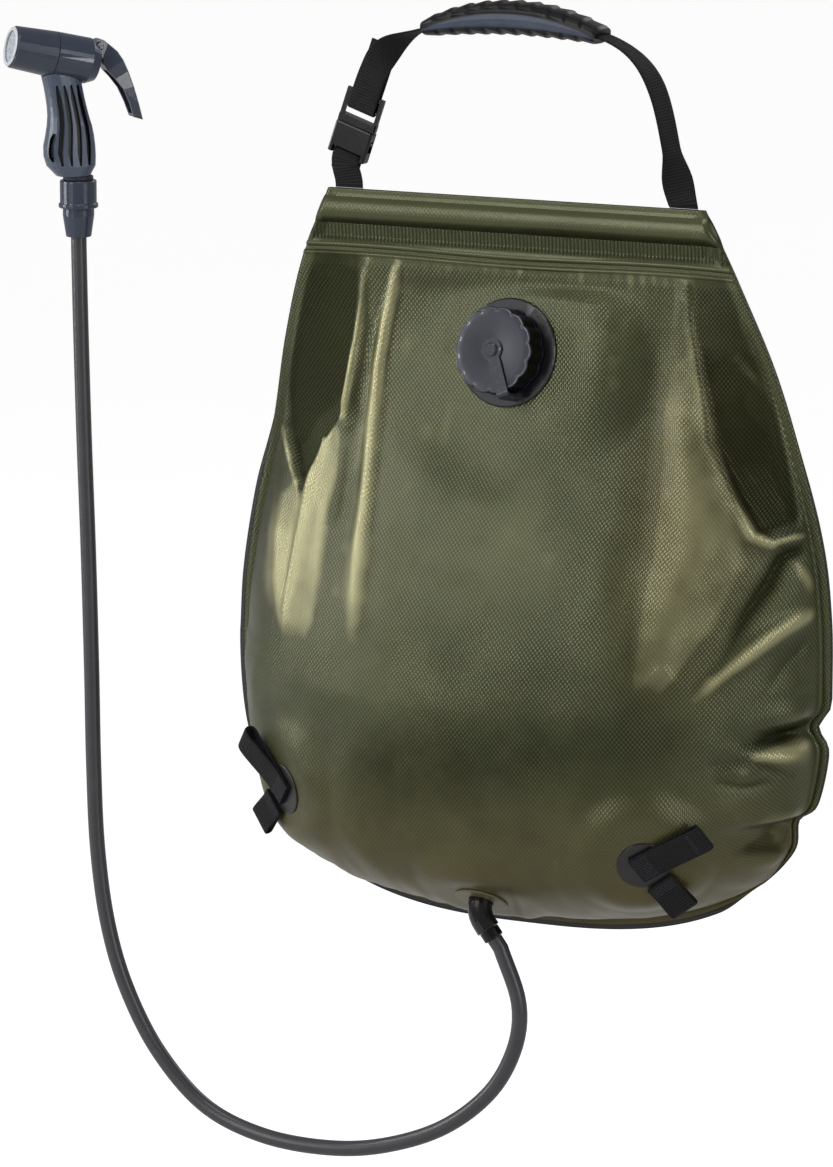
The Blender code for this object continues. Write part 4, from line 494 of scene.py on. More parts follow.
def fullness(u, v):
    """How far a panel stands out at a place, from 0 at the weld to 1 at the fullest."""
    inside = np.clip(0.5 + (u - 0.5) / (1 - WELD_WIDTH / BAG_HALF_WIDTH), 0.0, 1.0)
    across = np.maximum(1 - np.abs(2 * inside - 1) ** ACROSS_POWERS[0], 0) ** ACROSS_POWERS[1]
    upper = np.sin(math.pi / 2 * np.clip((v - HEM_ROW) / (FULLEST_ROW - HEM_ROW), 0, 1)) ** UPPER_POWER
    low = np.clip((v - FULLEST_ROW) / (LOWEST_ROW - FULLEST_ROW), 0, 1) ** LOWER_POWERS[0]
    down = np.where(v < FULLEST_ROW, upper, (1 - low) ** LOWER_POWERS[1])
    return np.where((v <= HEM_ROW) | (v >= LOWEST_ROW), 0.0, across * down)


def rod_channel(x, z):
    off = np.abs(z - ROD_Z) / ROD_CHANNEL_HALF_HEIGHT
    slot = np.where(z > ROD_Z, STRAP_SLOT, SEAT_GAP / 2)
    ends = ease((ROD_CHANNEL_LENGTH / 2 + ROD_CHANNEL_HALF_HEIGHT - np.abs(x)) / ROD_CHANNEL_HALF_HEIGHT)
    high = (ROD_LOOP_RADIUS + SEAT_GAP) * (1 - np.minimum(off, 1) ** 2.5) * ends
    return np.where(off >= 1, slot, np.maximum(slot, high))


def panel_point(u, v, front=True):
    u, v = np.asarray(u), np.asarray(v)
    x, z = outline(u, v)
    way = -1 if front else 1
    depth = BAG_FRONT_DEPTH if front else BAG_BACK_DEPTH
    seam = BAG_SEAM_BACK * ease((v - HEM_ROW) / (FULLEST_ROW - HEM_ROW))
    body = seam + way * (SEAT_GAP / 2 + depth * fullness(u, v))
    return np.stack([x, np.where(v < HEM_ROW, way * rod_channel(x, z), body), z], -1)


def find_place(x, drop):
    """The u and v of a place on the front panel, from its x and its drop under the bag's top."""
    u, v = 0.5, drop / BAG_HEIGHT
    for _ in range(80):
        here = panel_point(u, v)
        u = min(max(u + (x - here[0]) / (8 * BAG_HALF_WIDTH), EDGE_SHARE), 1 - EDGE_SHARE)
        v = min(max(v + (drop - (BAG_TOP - here[2])) / BAG_HEIGHT, EDGE_SHARE), 1 - EDGE_SHARE)
    return u, v


def seat(x, drop, radius, normal=None, lift=0.0):
    """A flat place on the front panel for a disc: its centre on the outer face, outward axis and radius."""
    u, v = find_place(x, drop)
    if normal is None:
        along = panel_point(u + SLOPE_STEP, v) - panel_point(u - SLOPE_STEP, v)
        down = panel_point(u, v + SLOPE_STEP) - panel_point(u, v - SLOPE_STEP)
        normal = Vector(np.cross(along, down)).normalized()
        normal = -normal if normal.y > 0 else normal
    centre = Vector(panel_point(u, v)) + normal * (BAG_WALL + lift)
    return centre, normal, radius


def tilted(yaw, tilt):
    a, e = math.radians(yaw), math.radians(tilt)
    return Vector((math.sin(a) * math.cos(e), -math.cos(a) * math.cos(e), math.sin(e)))


FILLER_SEAT = seat(0.003, 0.1245, 0.0445, tilted(-5.0, 13.0), 0.006)
OUTLET_SEAT = seat(-0.003, 0.5670, 0.022)
LEFT_SEAT = seat(-0.180, 0.492, 0.0216)
RIGHT_SEAT = seat(0.147, 0.520, 0.0216)
SEATS = (FILLER_SEAT, OUTLET_SEAT, LEFT_SEAT, RIGHT_SEAT)


def flattened(points, full):
    """Draws points of the front panel onto the flat seat of a fitting near them, but never at a weld."""
    hold = ease(np.sqrt(full) / SEAT_FADE_SHARE)
    for centre, outward, radius in SEATS:
        inner = np.array(centre - outward * BAG_WALL)
        out = np.array(outward)
        offset = points - inner
        height = offset @ out
        across = np.array(outward.cross(Vector((0, 0, 1))).normalized())
        other = np.cross(across, out)
        wider = FILLER_SPREAD_SHARE if radius == FILLER_SEAT[2] else SEAT_SPREAD_SHARE
        away = radius + (np.hypot(offset @ across, offset @ other) - radius) / wider
        share = hold * (1 - ease((away - radius - 2 * SEAT_MARGIN) / SEAT_BLEND))
        points = points - out * (height * share)[..., None]
    return points


# Folds of the front panel, by how their sides fall: points of (x, z, width, height) in millimetres
FOLDS = {
    "round": (
        ((-104, -186, 5, 1.5), (-108, -211, 5, 4), (-113, -243, 5, 5), (-116, -276, 5, 5),
         (-115, -322, 6, 4.5), (-112, -368, 6, 4.5), (-111, -406, 7, 4), (-109, -450, 8, 3),
         (-105, -510, 10, 0)),
        ((-125, -205, 9, -1), (-129, -250, 8, -3.5), (-132, -300, 9, -3), (-131, -360, 9, -2),
         (-125, -430, 10, 0)),
        ((-206, -392, 8, 0), (-202, -420, 13, 4), (-198, -450, 14, 4), (-193, -495, 12, 0)),
        ((-155, -342, 8, 0), (-156, -380, 12, 3.5), (-155, -425, 13, 3.5), (-151, -485, 9, 0)),
        ((-112, -380, 12, 0), (-108, -420, 16, 1.8), (-104, -470, 16, 0)),
        ((264, -449, 5, 2), (249, -457, 6, 3.5), (234, -468, 7, 4), (217, -484, 7, 4), (198, -502, 6, 2.5),
         (184, -518, 5, 0)),
        ((127, -205, 14, 0), (125, -260, 16, -2.2), (124, -330, 18, -2.5), (127, -420, 20, -2),
         (130, -500, 16, 0)),
        ((150, -250, 10, 0), (152, -300, 14, 2.2), (166, -350, 16, 2.6), (176, -400, 17, 2.6),
         (162, -460, 15, 2), (148, -505, 10, 0)),
        ((262, -536, 9, 4), (246, -538, 9, 4.5), (226, -541, 8, 2), (208, -546, 6, 0)),
        ((262, -570, 8, 4), (246, -569, 9, 4.5), (228, -567, 8, 3), (212, -566, 6, 0)),
        ((204, -580, 5, 0), (218, -580, 7, 3), (230, -582, 5, 0)),
        ((252, -618, 8, 3), (236, -622, 8, 3.5), (214, -630, 7, 0)),
        ((246, -656, 7, 3), (230, -660, 7, 3), (210, -662, 6, 0)),
        ((42, -680, 6, 0), (32, -698, 7, 2.6), (21, -718, 7, 3), (12, -735, 5, 1)),
        ((-40, -690, 7, 0), (-36, -708, 8, 1.8), (-30, -728, 6, 1)),
        ((-120, -640, 12, 0), (-100, -662, 14, 2), (-84, -690, 10, 1)),
        ((-60, -650, 14, 0), (-56, -680, 14, -1.8), (-52, -715, 9, 0)),
        ((90, -640, 12, 0), (84, -672, 12, 1.8), (80, -705, 8, 0.5)),
        ((-214, -520, 8, 0), (-224, -548, 9, 2), (-230, -580, 8, 0)),
        ((-150, -560, 10, 0), (-165, -590, 10, 1.8), (-176, -612, 8, 0)),
    ),
    "sharp": (
        ((-131, -186, 4, 1), (-136, -214, 5, 2.5), (-139, -249, 5, 4.5), (-141, -277, 5, 6),
         (-144, -306, 5, 5.5), (-145, -319, 4, 2), (-146, -326, 3, 0)),
        ((-146, -320, 4, 1), (-140, -326, 4, 2), (-136, -330, 4, 0)),
        ((-173, -345, 5, 1), (-173, -380, 6, 4), (-177, -430, 6, 4), (-181, -475, 6, 3),
         (-185, -510, 5, 0)),
        ((-216, -334, 3, 1), (-203, -354, 4, 3), (-189, -376, 3, 1)),
        ((-163, -388, 4, 0), (-160, -400, 4, -1.6), (-159, -414, 4, 0)),
        ((149, -190, 5, 1), (157, -229, 6, 2.5), (171, -280, 6, 3), (187, -322, 6, 3), (203, -365, 5, 4),
         (216, -389, 4, 5), (230, -395, 4, 5), (244, -390, 4, 4), (256, -390, 4, 2)),
        ((258, -399, 4, -2), (238, -406, 6, -5), (228, -430, 7, -5), (216, -452, 7, -4), (197, -494, 5, 0)),
        ((246, -412, 4, 1), (254, -430, 4, 2.5), (263, -447, 4, 2)),
        ((264, -464, 6, -2), (245, -489, 8, -3), (224, -527, 7, 0)),
        ((141, -512, 3, 0), (160, -493, 4, 2), (176, -512, 3, 0)),
        ((262, -551, 7, -9), (250, -553, 7, -9), (238, -554, 6, -6), (224, -557, 5, -2.5),
         (214, -562, 4, 0)),
        ((192, -577, 4, 0), (204, -571, 5, -2.5), (220, -570, 5, -3), (236, -579, 5, -2.5),
         (246, -586, 4, 0)),
        ((196, -582, 4, 0), (208, -588, 5, -2), (222, -591, 5, -2.5), (236, -586, 4, 0)),
        ((250, -634, 6, -6), (236, -641, 6, -6), (222, -646, 5, -4), (206, -650, 4, 0)),
        ((34, -676, 4, 0), (24, -694, 5, -2.2), (13, -714, 5, -3), (4, -733, 4, -2)),
        ((170, -640, 5, 0), (184, -652, 6, -1.8), (196, -668, 5, 0)),
    ),
    "edged": (
        ((-163, -186, 31, -4), (-168, -235, 32, -9), (-176, -281, 35, -10), (-178, -310, 33, -10),
         (-186, -336, 24, -9), (-184, -362, 13, -8), (-181, -378, 4, -5), (-180, -386, 2, 0)),
        ((172, -192, 20, -2), (180, -230, 24, -4), (191, -262, 27, -5), (206, -306, 31, -6),
         (224, -350, 25, -6), (234, -378, 18, -5), (240, -388, 8, 0)),
    ),
}

# Painted shade and painted highlights of the folds: as above, but the fourth number is the painted tone in
# thousandths, painted shade where it is positive and a painted highlight where it is negative
PAINTED_TONES = {
    "round": (
        ((-131, -188, 3, -200), (-136, -216, 3, -350), (-139, -249, 3, -800), (-144, -306, 3, -1500),
         (-145, -318, 3, -800)),
        ((-131, -270, 4, 100), (-135, -300, 5, 500), (-133, -314, 6, 700), (-126, -326, 5, 0)),
        ((-104, -188, 4, -300), (-108, -211, 4, -800), (-113, -243, 4, -1100), (-116, -276, 4, -1200),
         (-115, -322, 5, -1200), (-112, -368, 5, -1100), (-111, -406, 6, -900), (-109, -450, 7, -600),
         (-105, -510, 9, 0)),
        ((-212, -385, 8, -200), (-211, -415, 10, -450), (-207, -450, 11, -450), (-200, -490, 9, 0)),
        ((-124, -215, 6, -150), (-128, -250, 6, -280), (-126, -330, 7, -280), (-126, -400, 7, -150),
         (-124, -440, 7, 0)),
        ((-160, -333, 5, -500), (-167, -364, 7, -900), (-176, -397, 8, -900), (-180, -437, 8, -800),
         (-184, -475, 7, -500), (-187, -500, 6, 0)),
        ((-139, -345, 3, 500), (-138, -395, 3, 500), (-142, -408, 3, 0)),
        ((-206, -372, 6, 300), (-212, -392, 5, 0)),
        ((-216, -334, 3, -500), (-203, -354, 3, -900), (-189, -376, 3, -500)),
        ((196, -250, 4, -200), (208, -262, 4, -600), (216, -272, 4, -200)),
        ((207, -335, 3, -300), (214, -345, 4, -500), (224, -350, 3, 0)),
        ((203, -365, 3, -300), (216, -389, 3, -900), (230, -395, 3, -1200), (244, -391, 3, -1200),
         (256, -390, 3, -900)),
        ((258, -400, 4, 900), (238, -407, 6, 1000), (229, -430, 8, 900), (217, -452, 8, 900),
         (197, -496, 5, 300)),
        ((264, -450, 4, -700), (249, -458, 5, -900), (234, -470, 5, -900), (217, -485, 5, -900),
         (198, -503, 4, -700), (185, -518, 4, -300)),
        ((246, -412, 3, -500), (254, -430, 3, -900), (263, -447, 3, -700)),
        ((264, -466, 7, 300), (245, -491, 9, 300), (224, -529, 8, 100)),
        ((128, -200, 7, 150), (126, -260, 6, 250), (128, -330, 6, 280), (133, -435, 7, 300),
         (136, -490, 7, 250), (142, -513, 6, 0)),
        ((86, -215, 14, -80), (88, -255, 15, -130), (80, -300, 14, -80)),
        ((262, -547, 4, 900), (244, -553, 5, 1200), (223, -558, 4, 600), (212, -563, 3, 0)),
        ((262, -560, 4, -900), (254, -562, 5, -1200), (241, -566, 5, -1200), (226, -568, 4, -600)),
        ((200, -577, 3, 400), (215, -571, 3, 600), (230, -574, 3, 600), (243, -585, 3, 300)),
        ((202, -584, 3, 300), (216, -590, 3, 500), (232, -588, 3, 400)),
        ((228, -652, 3, 900), (218, -650, 4, 800), (208, -650, 3, 300)),
        ((33, -681, 3, 300), (30, -697, 3, 700), (13, -727, 3, 500)),
        # A broad band of painted shade across the lower body
        ((-190, -560, 36, 150), (-130, -590, 42, 350), (-60, -590, 44, 720), (50, -572, 44, 720),
         (140, -556, 36, 450), (200, -545, 20, 100)),
    ),
    "edged": (
        ((-163, -188, 31, 650), (-168, -235, 33, 950), (-176, -281, 36, 1000), (-178, -310, 34, 1000),
         (-186, -336, 25, 1000), (-184, -362, 14, 1000), (-181, -378, 5, 1000), (-180, -388, 3, 500)),
        ((-154, -335, 9, -350), (-160, -365, 18, -550), (-176, -400, 35, -620), (-174, -447, 31, -620),
         (-170, -482, 24, -500), (-168, -506, 14, 0)),
        ((176, -190, 22, 450), (184, -230, 26, 600), (194, -262, 30, 700), (208, -306, 34, 800),
         (226, -350, 28, 850), (236, -378, 20, 850), (242, -391, 12, 500)),
        ((150, -230, 10, -100), (158, -300, 22, -200), (172, -370, 34, -330), (178, -410, 40, -380),
         (166, -455, 34, -400), (152, -500, 18, -350), (148, -522, 8, 0)),
    ),
}


EDGE_STEEPNESS = 3.2


def fold_height(x, z, points, kind):
    """How far one fold lifts each place of the panel."""
    best = np.full(x.shape, 1e9)
    wide, high = np.ones(x.shape), np.zeros(x.shape)
    rows = np.array(points, float) / 1000
    for a, b in zip(rows, rows[1:]):
        d = b[:2] - a[:2]
        t = np.clip(((x - a[0]) * d[0] + (z - a[1]) * d[1]) / (d @ d), 0, 1)
        away = np.hypot(x - a[0] - d[0] * t, z - a[1] - d[1] * t)
        near = away < best
        best = np.where(near, away, best)
        wide = np.where(near, a[2] + (b[2] - a[2]) * t, wide)
        high = np.where(near, a[3] + (b[3] - a[3]) * ease(t), high)
    share = best / wide
    if kind == "round":
        return high * np.exp(-share**2)
    if kind == "sharp":
        return high * np.exp(-share)
    return high * ease(EDGE_STEEPNESS * (1 - share))


def fold_heights(x, z, table):
    return sum(fold_height(x, z, points, kind) for kind, folds in table.items() for points in folds)


def value_noise(x, z, cell, seed):
    """Smooth random heights between -1 and 1, a cell apart."""
    rng = np.random.default_rng(seed)
    table = rng.uniform(-1, 1, (64, 64))
    a, b = x / cell + 17.3, z / cell + 31.7
    i, j = np.floor(a).astype(int), np.floor(b).astype(int)
    s, t = ease(a - i), ease(b - j)
    i, j = i % 63, j % 63
    top = table[i, j] * (1 - s) + table[i + 1, j] * s
    low = table[i, j + 1] * (1 - s) + table[i + 1, j + 1] * s
    return top * (1 - t) + low * t


def noise_layers(x, z, layers):
    """Layers of smooth noise, each with its height, cell, seed and stretch along z."""
    return sum(high * value_noise(x, z * stretch, cell, seed) for high, cell, seed, stretch in layers)


def puckers(s, away, wavelength, reach, height, seed):
    """Small ripples square to a weld: s runs along it, away is the distance from it."""
    ripple = value_noise(s, away * 0.25, wavelength, seed)
    ripple = ripple + 0.5 * value_noise(s, away * 0.3, wavelength * 0.55, seed + 1)
    return height * ripple * (1 - np.exp(-away / (0.2 * reach))) * np.exp(-(away / reach) ** 1.3)


HEM_ROWS = 96
BODY_ROWS = 205
WELD_ROWS = 5


def even_rows():
    """The v of the fine rows: 0.7 mm apart in the hem and 2.6 mm apart below it."""
    hem = np.linspace(0, HEM_ROW, HEM_ROWS)
    side = np.linspace(HEM_ROW, LOWEST_ROW, BODY_ROWS)
    return np.concatenate([hem, side[1:], np.linspace(LOWEST_ROW, 1, WELD_ROWS)[1:]])


def even_columns(count):
    edge = WELD_WIDTH / (2 * BAG_HALF_WIDTH)
    even = np.linspace(0, 1, count)
    crowded = 0.5 - 0.5 * np.cos(math.pi * even)
    inner = edge + (1 - 2 * edge) * (0.4 * crowded + 0.6 * even)
    return np.concatenate([[0, edge * 0.45, edge * 0.8], inner, [1 - edge * 0.8, 1 - edge * 0.45, 1]])


def normals_of(points, front):
    along = np.gradient(points, axis=1)
    down = np.gradient(points, axis=0)
    normal = np.cross(along, down)
    normal /= np.maximum(np.linalg.norm(normal, axis=-1, keepdims=True), 1e-12)
    middle = normal[normal.shape[0] // 2, normal.shape[1] // 2, 1]
    return -normal if (middle > 0) == front else normal


# Where the right seam is drawn in: x, z, half height, and how far it goes left and up, in metres
SEAM_PINCHES = ((0.262, -0.551, 0.011, 0.011, 0.0), (0.240, -0.636, 0.011, 0.008, 0.006))
PINCH_REACH = 0.07


def pinched(points):
    """Draws a panel in at the places where the seam is pinched."""
    for x, z, high, left, up in SEAM_PINCHES:
        share = np.exp(-(((points[..., 2] - z) / high) ** 2)) * ease((points[..., 0] - x) / PINCH_REACH + 1)
        points = points + np.stack([-left * share, 0 * share, up * share], -1)
    return points


# Pressed lines and stamp of the hem, and the hollow between its lines, by their drop under its top edge
TOP_LINE_DROP = 0.0058
BAND_LINE_DROPS = (0.0462, 0.0535)
BAND_DEPTH = 0.0011
BAND_SLOPE_LENGTH = 0.0022
LINE_WIDTH = 0.0009
TOP_LINE_HEIGHT = 0.0006
BAND_LINE_HEIGHT = 0.0012
TOP_LINE_HALF = 0.160
TOP_LINE_SPREAD_SHARE = 0.42
LINE_FADE = 0.004
CORNER_LINE_X = 0.1675
CORNER_LINE_SPREAD_SHARE = 0.36
CORNER_LINE_WIDTH = 0.0012
CORNER_LINE_END = 0.044
CORNER_LINE_START = 0.006
BOW_HEIGHT = 0.0016
BOW_LENGTH = 0.05
SAG_HEIGHT = 0.0012
SAG_LENGTH = 0.15
STAMP_X = 0.166
STAMP_SPREAD_SHARE = 0.25
STAMP_DROPS = (0.030, 0.031)
STAMP_SIZE = (0.0035, 0.0085)
STAMP_DEPTH = 0.00072
STAMP_RIM = 0.0004
HOLLOW_DEPTH = 0.0032
HOLLOW_DROPS = (0.019, 0.0455)
HOLLOW_SLOPES = (0.009, 0.007)
HOLLOW_HALF = 0.172
HOLLOW_SPREAD_SHARE = 0.3
HOLLOW_END = 0.012
BODY_DROP = 0.0545
TOP_EDGE_FADE = (0.001, 0.002)


def line_ridge(away, width, height):
    return height * np.exp(-((away / width) ** 2))


def hem_relief(x, z):
    """The hem's welds: the line under its top edge, the pair over the body, and the pressed corners."""
    drop = BAG_TOP - z
    inner = ease((TOP_LINE_HALF + drop * TOP_LINE_SPREAD_SHARE - np.abs(x)) / LINE_FADE)
    bow = BOW_HEIGHT * np.cos(x / BOW_LENGTH) + SAG_HEIGHT * (x / SAG_LENGTH) ** 2
    relief = line_ridge(drop - TOP_LINE_DROP, LINE_WIDTH, TOP_LINE_HEIGHT) * inner
    high, low = BAND_LINE_DROPS
    for line in BAND_LINE_DROPS:
        relief += line_ridge(drop - line - bow, LINE_WIDTH, BAND_LINE_HEIGHT)
    groove = ease((drop - bow - high) / BAND_SLOPE_LENGTH) * ease((low - drop + bow) / BAND_SLOPE_LENGTH)
    relief -= BAND_DEPTH * groove
    for way in (-1, 1):
        edge = way * x - (CORNER_LINE_X + CORNER_LINE_SPREAD_SHARE * drop)
        fade = ease((CORNER_LINE_END - drop) / LINE_FADE) * ease(drop / CORNER_LINE_START)
        relief += line_ridge(edge, CORNER_LINE_WIDTH, TOP_LINE_HEIGHT) * fade
    across = np.abs(x - STAMP_X - STAMP_SPREAD_SHARE * (drop - STAMP_DROPS[0])) / STAMP_SIZE[0]
    stamp = np.maximum(across, np.abs(drop - STAMP_DROPS[1]) / STAMP_SIZE[1])
    relief -= STAMP_DEPTH * ease((1.0 - stamp) / 0.25)
    relief += STAMP_RIM * ease((1.5 - stamp) / 0.4)
    return relief


def hem_hollow(x, z):
    """How far the band between the rod and the lower weld sinks back."""
    drop = BAG_TOP - z
    deep = ease((drop - HOLLOW_DROPS[0]) / HOLLOW_SLOPES[0])
    deep *= ease((HOLLOW_DROPS[1] - drop) / HOLLOW_SLOPES[1])
    return HOLLOW_DEPTH * deep * ease((HOLLOW_HALF + HOLLOW_SPREAD_SHARE * drop - np.abs(x)) / HOLLOW_END)


def flat_place(points):
    """Each point's place on the flat sheet, as the distance along its row and down its column."""
    across = np.linalg.norm(np.diff(points, axis=1), axis=-1)
    s = np.concatenate([np.zeros((points.shape[0], 1)), np.cumsum(across, axis=1)], 1)
    s = s - s[:, s.shape[1] // 2][:, None]
    down = np.linalg.norm(np.diff(points, axis=0), axis=-1)
    t = np.concatenate([np.zeros((1, points.shape[1])), np.cumsum(down, axis=0)], 0)
    middle = t[:, t.shape[1] // 2][:, None]
    return s, 0.5 * t + 0.5 * middle


def grid_mesh(name, points, flip, places, painted_tone=None):
    rows, columns = points.shape[:2]
    index = np.arange(rows * columns).reshape(rows, columns)
    quads = np.stack([index[:-1, :-1], index[:-1, 1:], index[1:, 1:], index[1:, :-1]], -1).reshape(-1, 4)
    if flip:
        quads = quads[:, ::-1]
    mesh = bpy.data.meshes.new(name)
    mesh.from_pydata(points.reshape(-1, 3).tolist(), [], quads.tolist())
    layer = mesh.attributes.new("cloth", "FLOAT_VECTOR", "POINT")
    flat = np.zeros((rows * columns, 3), np.float32)
    flat[:, 0], flat[:, 1] = places[0].ravel(), places[1].ravel()
    # The third number carries the painted tone: painted shade and painted highlights
    if painted_tone is not None:
        flat[:, 2] = painted_tone.ravel()
    layer.data.foreach_set("vector", flat.ravel())
    mesh.shade_smooth()
    return mesh


def seam_reach(u, v, x, z):
    """The distance of each place from the side weld, the bottom weld and the hem."""
    edge = WELD_WIDTH / (2 * BAG_HALF_WIDTH)
    width = np.abs(outline(np.ones_like(v), v)[0] - outline(np.zeros_like(v), v)[0])
    side = np.maximum(np.minimum(u - edge, 1 - edge - u), 0) * width
    bottom = outline(u, np.full_like(v, LOWEST_ROW))[1]
    low = np.maximum(z - bottom, 0)
    hem = np.maximum(BAG_TOP - BODY_DROP - z, 0)
    return side, low, hem


END_CLOSE = 0.0045
END_CLOSE_SHARE = 0.12


def drawn_in(points, u, z):
    """Brings the hem's two panels together at the ends of the rod's channel."""
    half = np.abs(outline(np.where(u < 0.5, 0.0, 1.0), row_at(BAG_TOP - z))[0])
    share = ease((half - np.abs(points[..., 0])) / END_CLOSE)
    close = END_CLOSE_SHARE + (1 - END_CLOSE_SHARE) * share
    points[..., 1] *= np.where(BAG_TOP - z < HEM_HEIGHT, close, 1.0)
    return points


# Wavelength, reach, height and seed of the ripples under the hem, at the sides and at the bottom, then noise
FRONT_PUCKERS = ((0.010, 0.034, 0.0016, 5), (0.016, 0.026, 0.0016, 9), (0.015, 0.030, 0.0020, 21))
BACK_PUCKERS = ((0.014, 0.04, 0.0016, 45), (0.020, 0.030, 0.0022, 49), (0.020, 0.035, 0.0024, 41))
FRONT_NOISE = ((0.0016, 0.075, 3, 1.0), (0.0007, 0.026, 4, 0.6))
BACK_NOISE = ((0.0022, 0.07, 13, 1.0), (0.0009, 0.024, 14, 1.0))
TONE_NOISE = ((0.12, 0.022, 31, 1.0), (0.08, 0.009, 33, 1.0))
# How far from the side and bottom welds the ripples are full, and under the hem for the first two kinds
FRONT_FADES = (0.010, 0.008)
BACK_FADES = (0.012, 0.010)
HEM_FADES = (0.004, 0.02)
TONE_TOP_DROP = 0.050
TONE_FADE = 0.006
SCALLOP_WIDTH = 0.0107
SCALLOP_SWAY = 0.002
SCALLOP_CELLS = (0.03, 0.019)
SCALLOP_DROP = 0.005
SCALLOP_HEIGHT = 0.0016
SCALLOP_REACH = 0.007
SCALLOP_ENDS = (-0.105, 0.150)
SCALLOP_FADES = (0.03, 0.02)
UNDER_HEM_FADE = 0.008
DEEPEST_SHARE = 0.5
# Painted tone per metre of fold lift: painted shade in hollows, painted highlights on raised folds; then the
# painted shade of the hem's sunk band, where it starts and fades
PAINTED_TONE_PER_METRE = 70.0
BAND_PAINTED_SHADE = 0.55
BAND_TONE_DROPS = (0.021, 0.0455)
BAND_TONE_FADES = (0.006, 0.004)
RIM_WIDTH = 0.012
RIM_HEIGHT = 0.0045
RIM_START = 0.12
RIM_FADE = 0.08
RIM_LOW_Z = -0.72
RIM_LOW_FADE = 0.05
RIM_BOTTOM_HALF = 0.20
RIM_BOTTOM_FADE = 0.03
FRONT_COLUMNS = 230
BACK_COLUMNS = 120


def scallops(x, z, hem):
    """The row of small puckers under the weld of the hem, by how far they rise and sink."""
    sway = SCALLOP_SWAY * value_noise(x, z, SCALLOP_CELLS[0], 8)
    made = np.abs(np.sin(math.pi * (x + sway) / SCALLOP_WIDTH)) - 0.55
    made *= np.exp(-(((hem - SCALLOP_DROP) / SCALLOP_REACH) ** 2))
    made *= ease((x - SCALLOP_ENDS[0]) / SCALLOP_FADES[0]) * ease((SCALLOP_ENDS[1] - x) / SCALLOP_FADES[1])
    return made * (0.55 + 0.45 * value_noise(x, 0.0 * z, SCALLOP_CELLS[1], 6))


def under_hem(z):
    return ease((BAG_TOP - BODY_DROP - z) / UNDER_HEM_FADE)


def front_points():
    """The front panel's points and the painted tone of each: painted shade where it is positive, painted
    highlights where it is negative.
    """
    u, v = np.meshgrid(even_columns(FRONT_COLUMNS), even_rows())
    points = panel_point(u, v)
    full = fullness(u, v)
    x, z = points[..., 0], points[..., 2]
    side, low, hem = seam_reach(u, v, x, z)
    normal = normals_of(points, True)
    lift = fold_heights(x, z, FOLDS)
    # Painted tone from the tables, with painted shade where the folds sink and painted highlights where they
    # rise
    painted_tone = fold_heights(x, z, PAINTED_TONES) - PAINTED_TONE_PER_METRE * lift
    scallop = scallops(x, z, hem)
    lift += SCALLOP_HEIGHT * scallop
    # Painted highlights on the puckers under the hem's weld
    painted_tone -= 0.6 * scallop
    painted_tone += noise_layers(x, z, TONE_NOISE)
    lift += puckers(x, hem, *FRONT_PUCKERS[0]) * ease(hem / HEM_FADES[0])
    lift += puckers(z, side, *FRONT_PUCKERS[1]) * ease(hem / HEM_FADES[1])
    lift += puckers(x, low, *FRONT_PUCKERS[2])
    lift += noise_layers(x, z, FRONT_NOISE)
    lift = np.maximum(lift, -DEEPEST_SHARE * BAG_FRONT_DEPTH * full)
    keep = ease(side / FRONT_FADES[0]) * ease(low / FRONT_FADES[1]) * under_hem(z)
    points = points + normal * (lift * keep)[..., None]
    points = drawn_in(pinched(flattened(points, full)), u, z)
    drop = BAG_TOP - z
    points[..., 1] -= hem_relief(x, z) * ease((drop + TOP_EDGE_FADE[0]) / TOP_EDGE_FADE[1])
    points[..., 1] += hem_hollow(x, z)
    # Painted shade on the hem's sunk band between the rod and the lower weld
    band = ease((drop - BAND_TONE_DROPS[0]) / BAND_TONE_FADES[0])
    band = BAND_PAINTED_SHADE * band * ease((BAND_TONE_DROPS[1] - drop) / BAND_TONE_FADES[1])
    painted_tone *= ease((drop - TONE_TOP_DROP) / TONE_FADE) * ease(side / TONE_FADE)
    return points, np.clip(painted_tone + band, -1.0, 1.0)


def back_points():
    rows = even_rows()
    fewer = np.concatenate([rows[:HEM_ROWS - 1:3], rows[HEM_ROWS - 1::2]])
    u, v = np.meshgrid(even_columns(BACK_COLUMNS), fewer)
    points = panel_point(u, v, False)
    x, z = points[..., 0], points[..., 2]
    side, low, hem = seam_reach(u, v, x, z)
    normal = normals_of(points, False)
    lift = puckers(x, hem, *BACK_PUCKERS[0]) * ease(hem / HEM_FADES[0])
    lift += puckers(z, side, *BACK_PUCKERS[1])
    lift += puckers(x, low, *BACK_PUCKERS[2])
    lift += noise_layers(x, z, BACK_NOISE)
    lift = np.maximum(lift, -DEEPEST_SHARE * BAG_BACK_DEPTH * fullness(u, v))
    keep = ease(side / BACK_FADES[0]) * ease(low / BACK_FADES[1]) * under_hem(z)
    points = points + normal * (lift * keep)[..., None]
    points[..., 1] += hem_hollow(x, z)
    points = drawn_in(pinched(points), u, z)
    rim = RIM_HEIGHT * ease((RIM_WIDTH - side) / RIM_WIDTH) * ease((hem - RIM_START) / RIM_FADE)
    points[..., 0] += np.where(x < 0, -rim, 0.25 * rim) * ease((z - RIM_LOW_Z) / RIM_LOW_FADE)
    bottom = ease((RIM_WIDTH - low) / RIM_WIDTH) * ease((RIM_BOTTOM_HALF - np.abs(x)) / RIM_BOTTOM_FADE)
    points[..., 2] -= RIM_HEIGHT * bottom
    return points


def sheet(name, points, flip, finish, painted_tone=None):
    """One of the bag's two sheets, with its wall."""
    item = object_of(name, grid_mesh(name, points, flip, flat_place(points), painted_tone))
    shell = item.modifiers.new("wall", "SOLIDIFY")
    shell.thickness = BAG_WALL
    shell.offset = 1
    item.data.materials.append(finish)
    return item


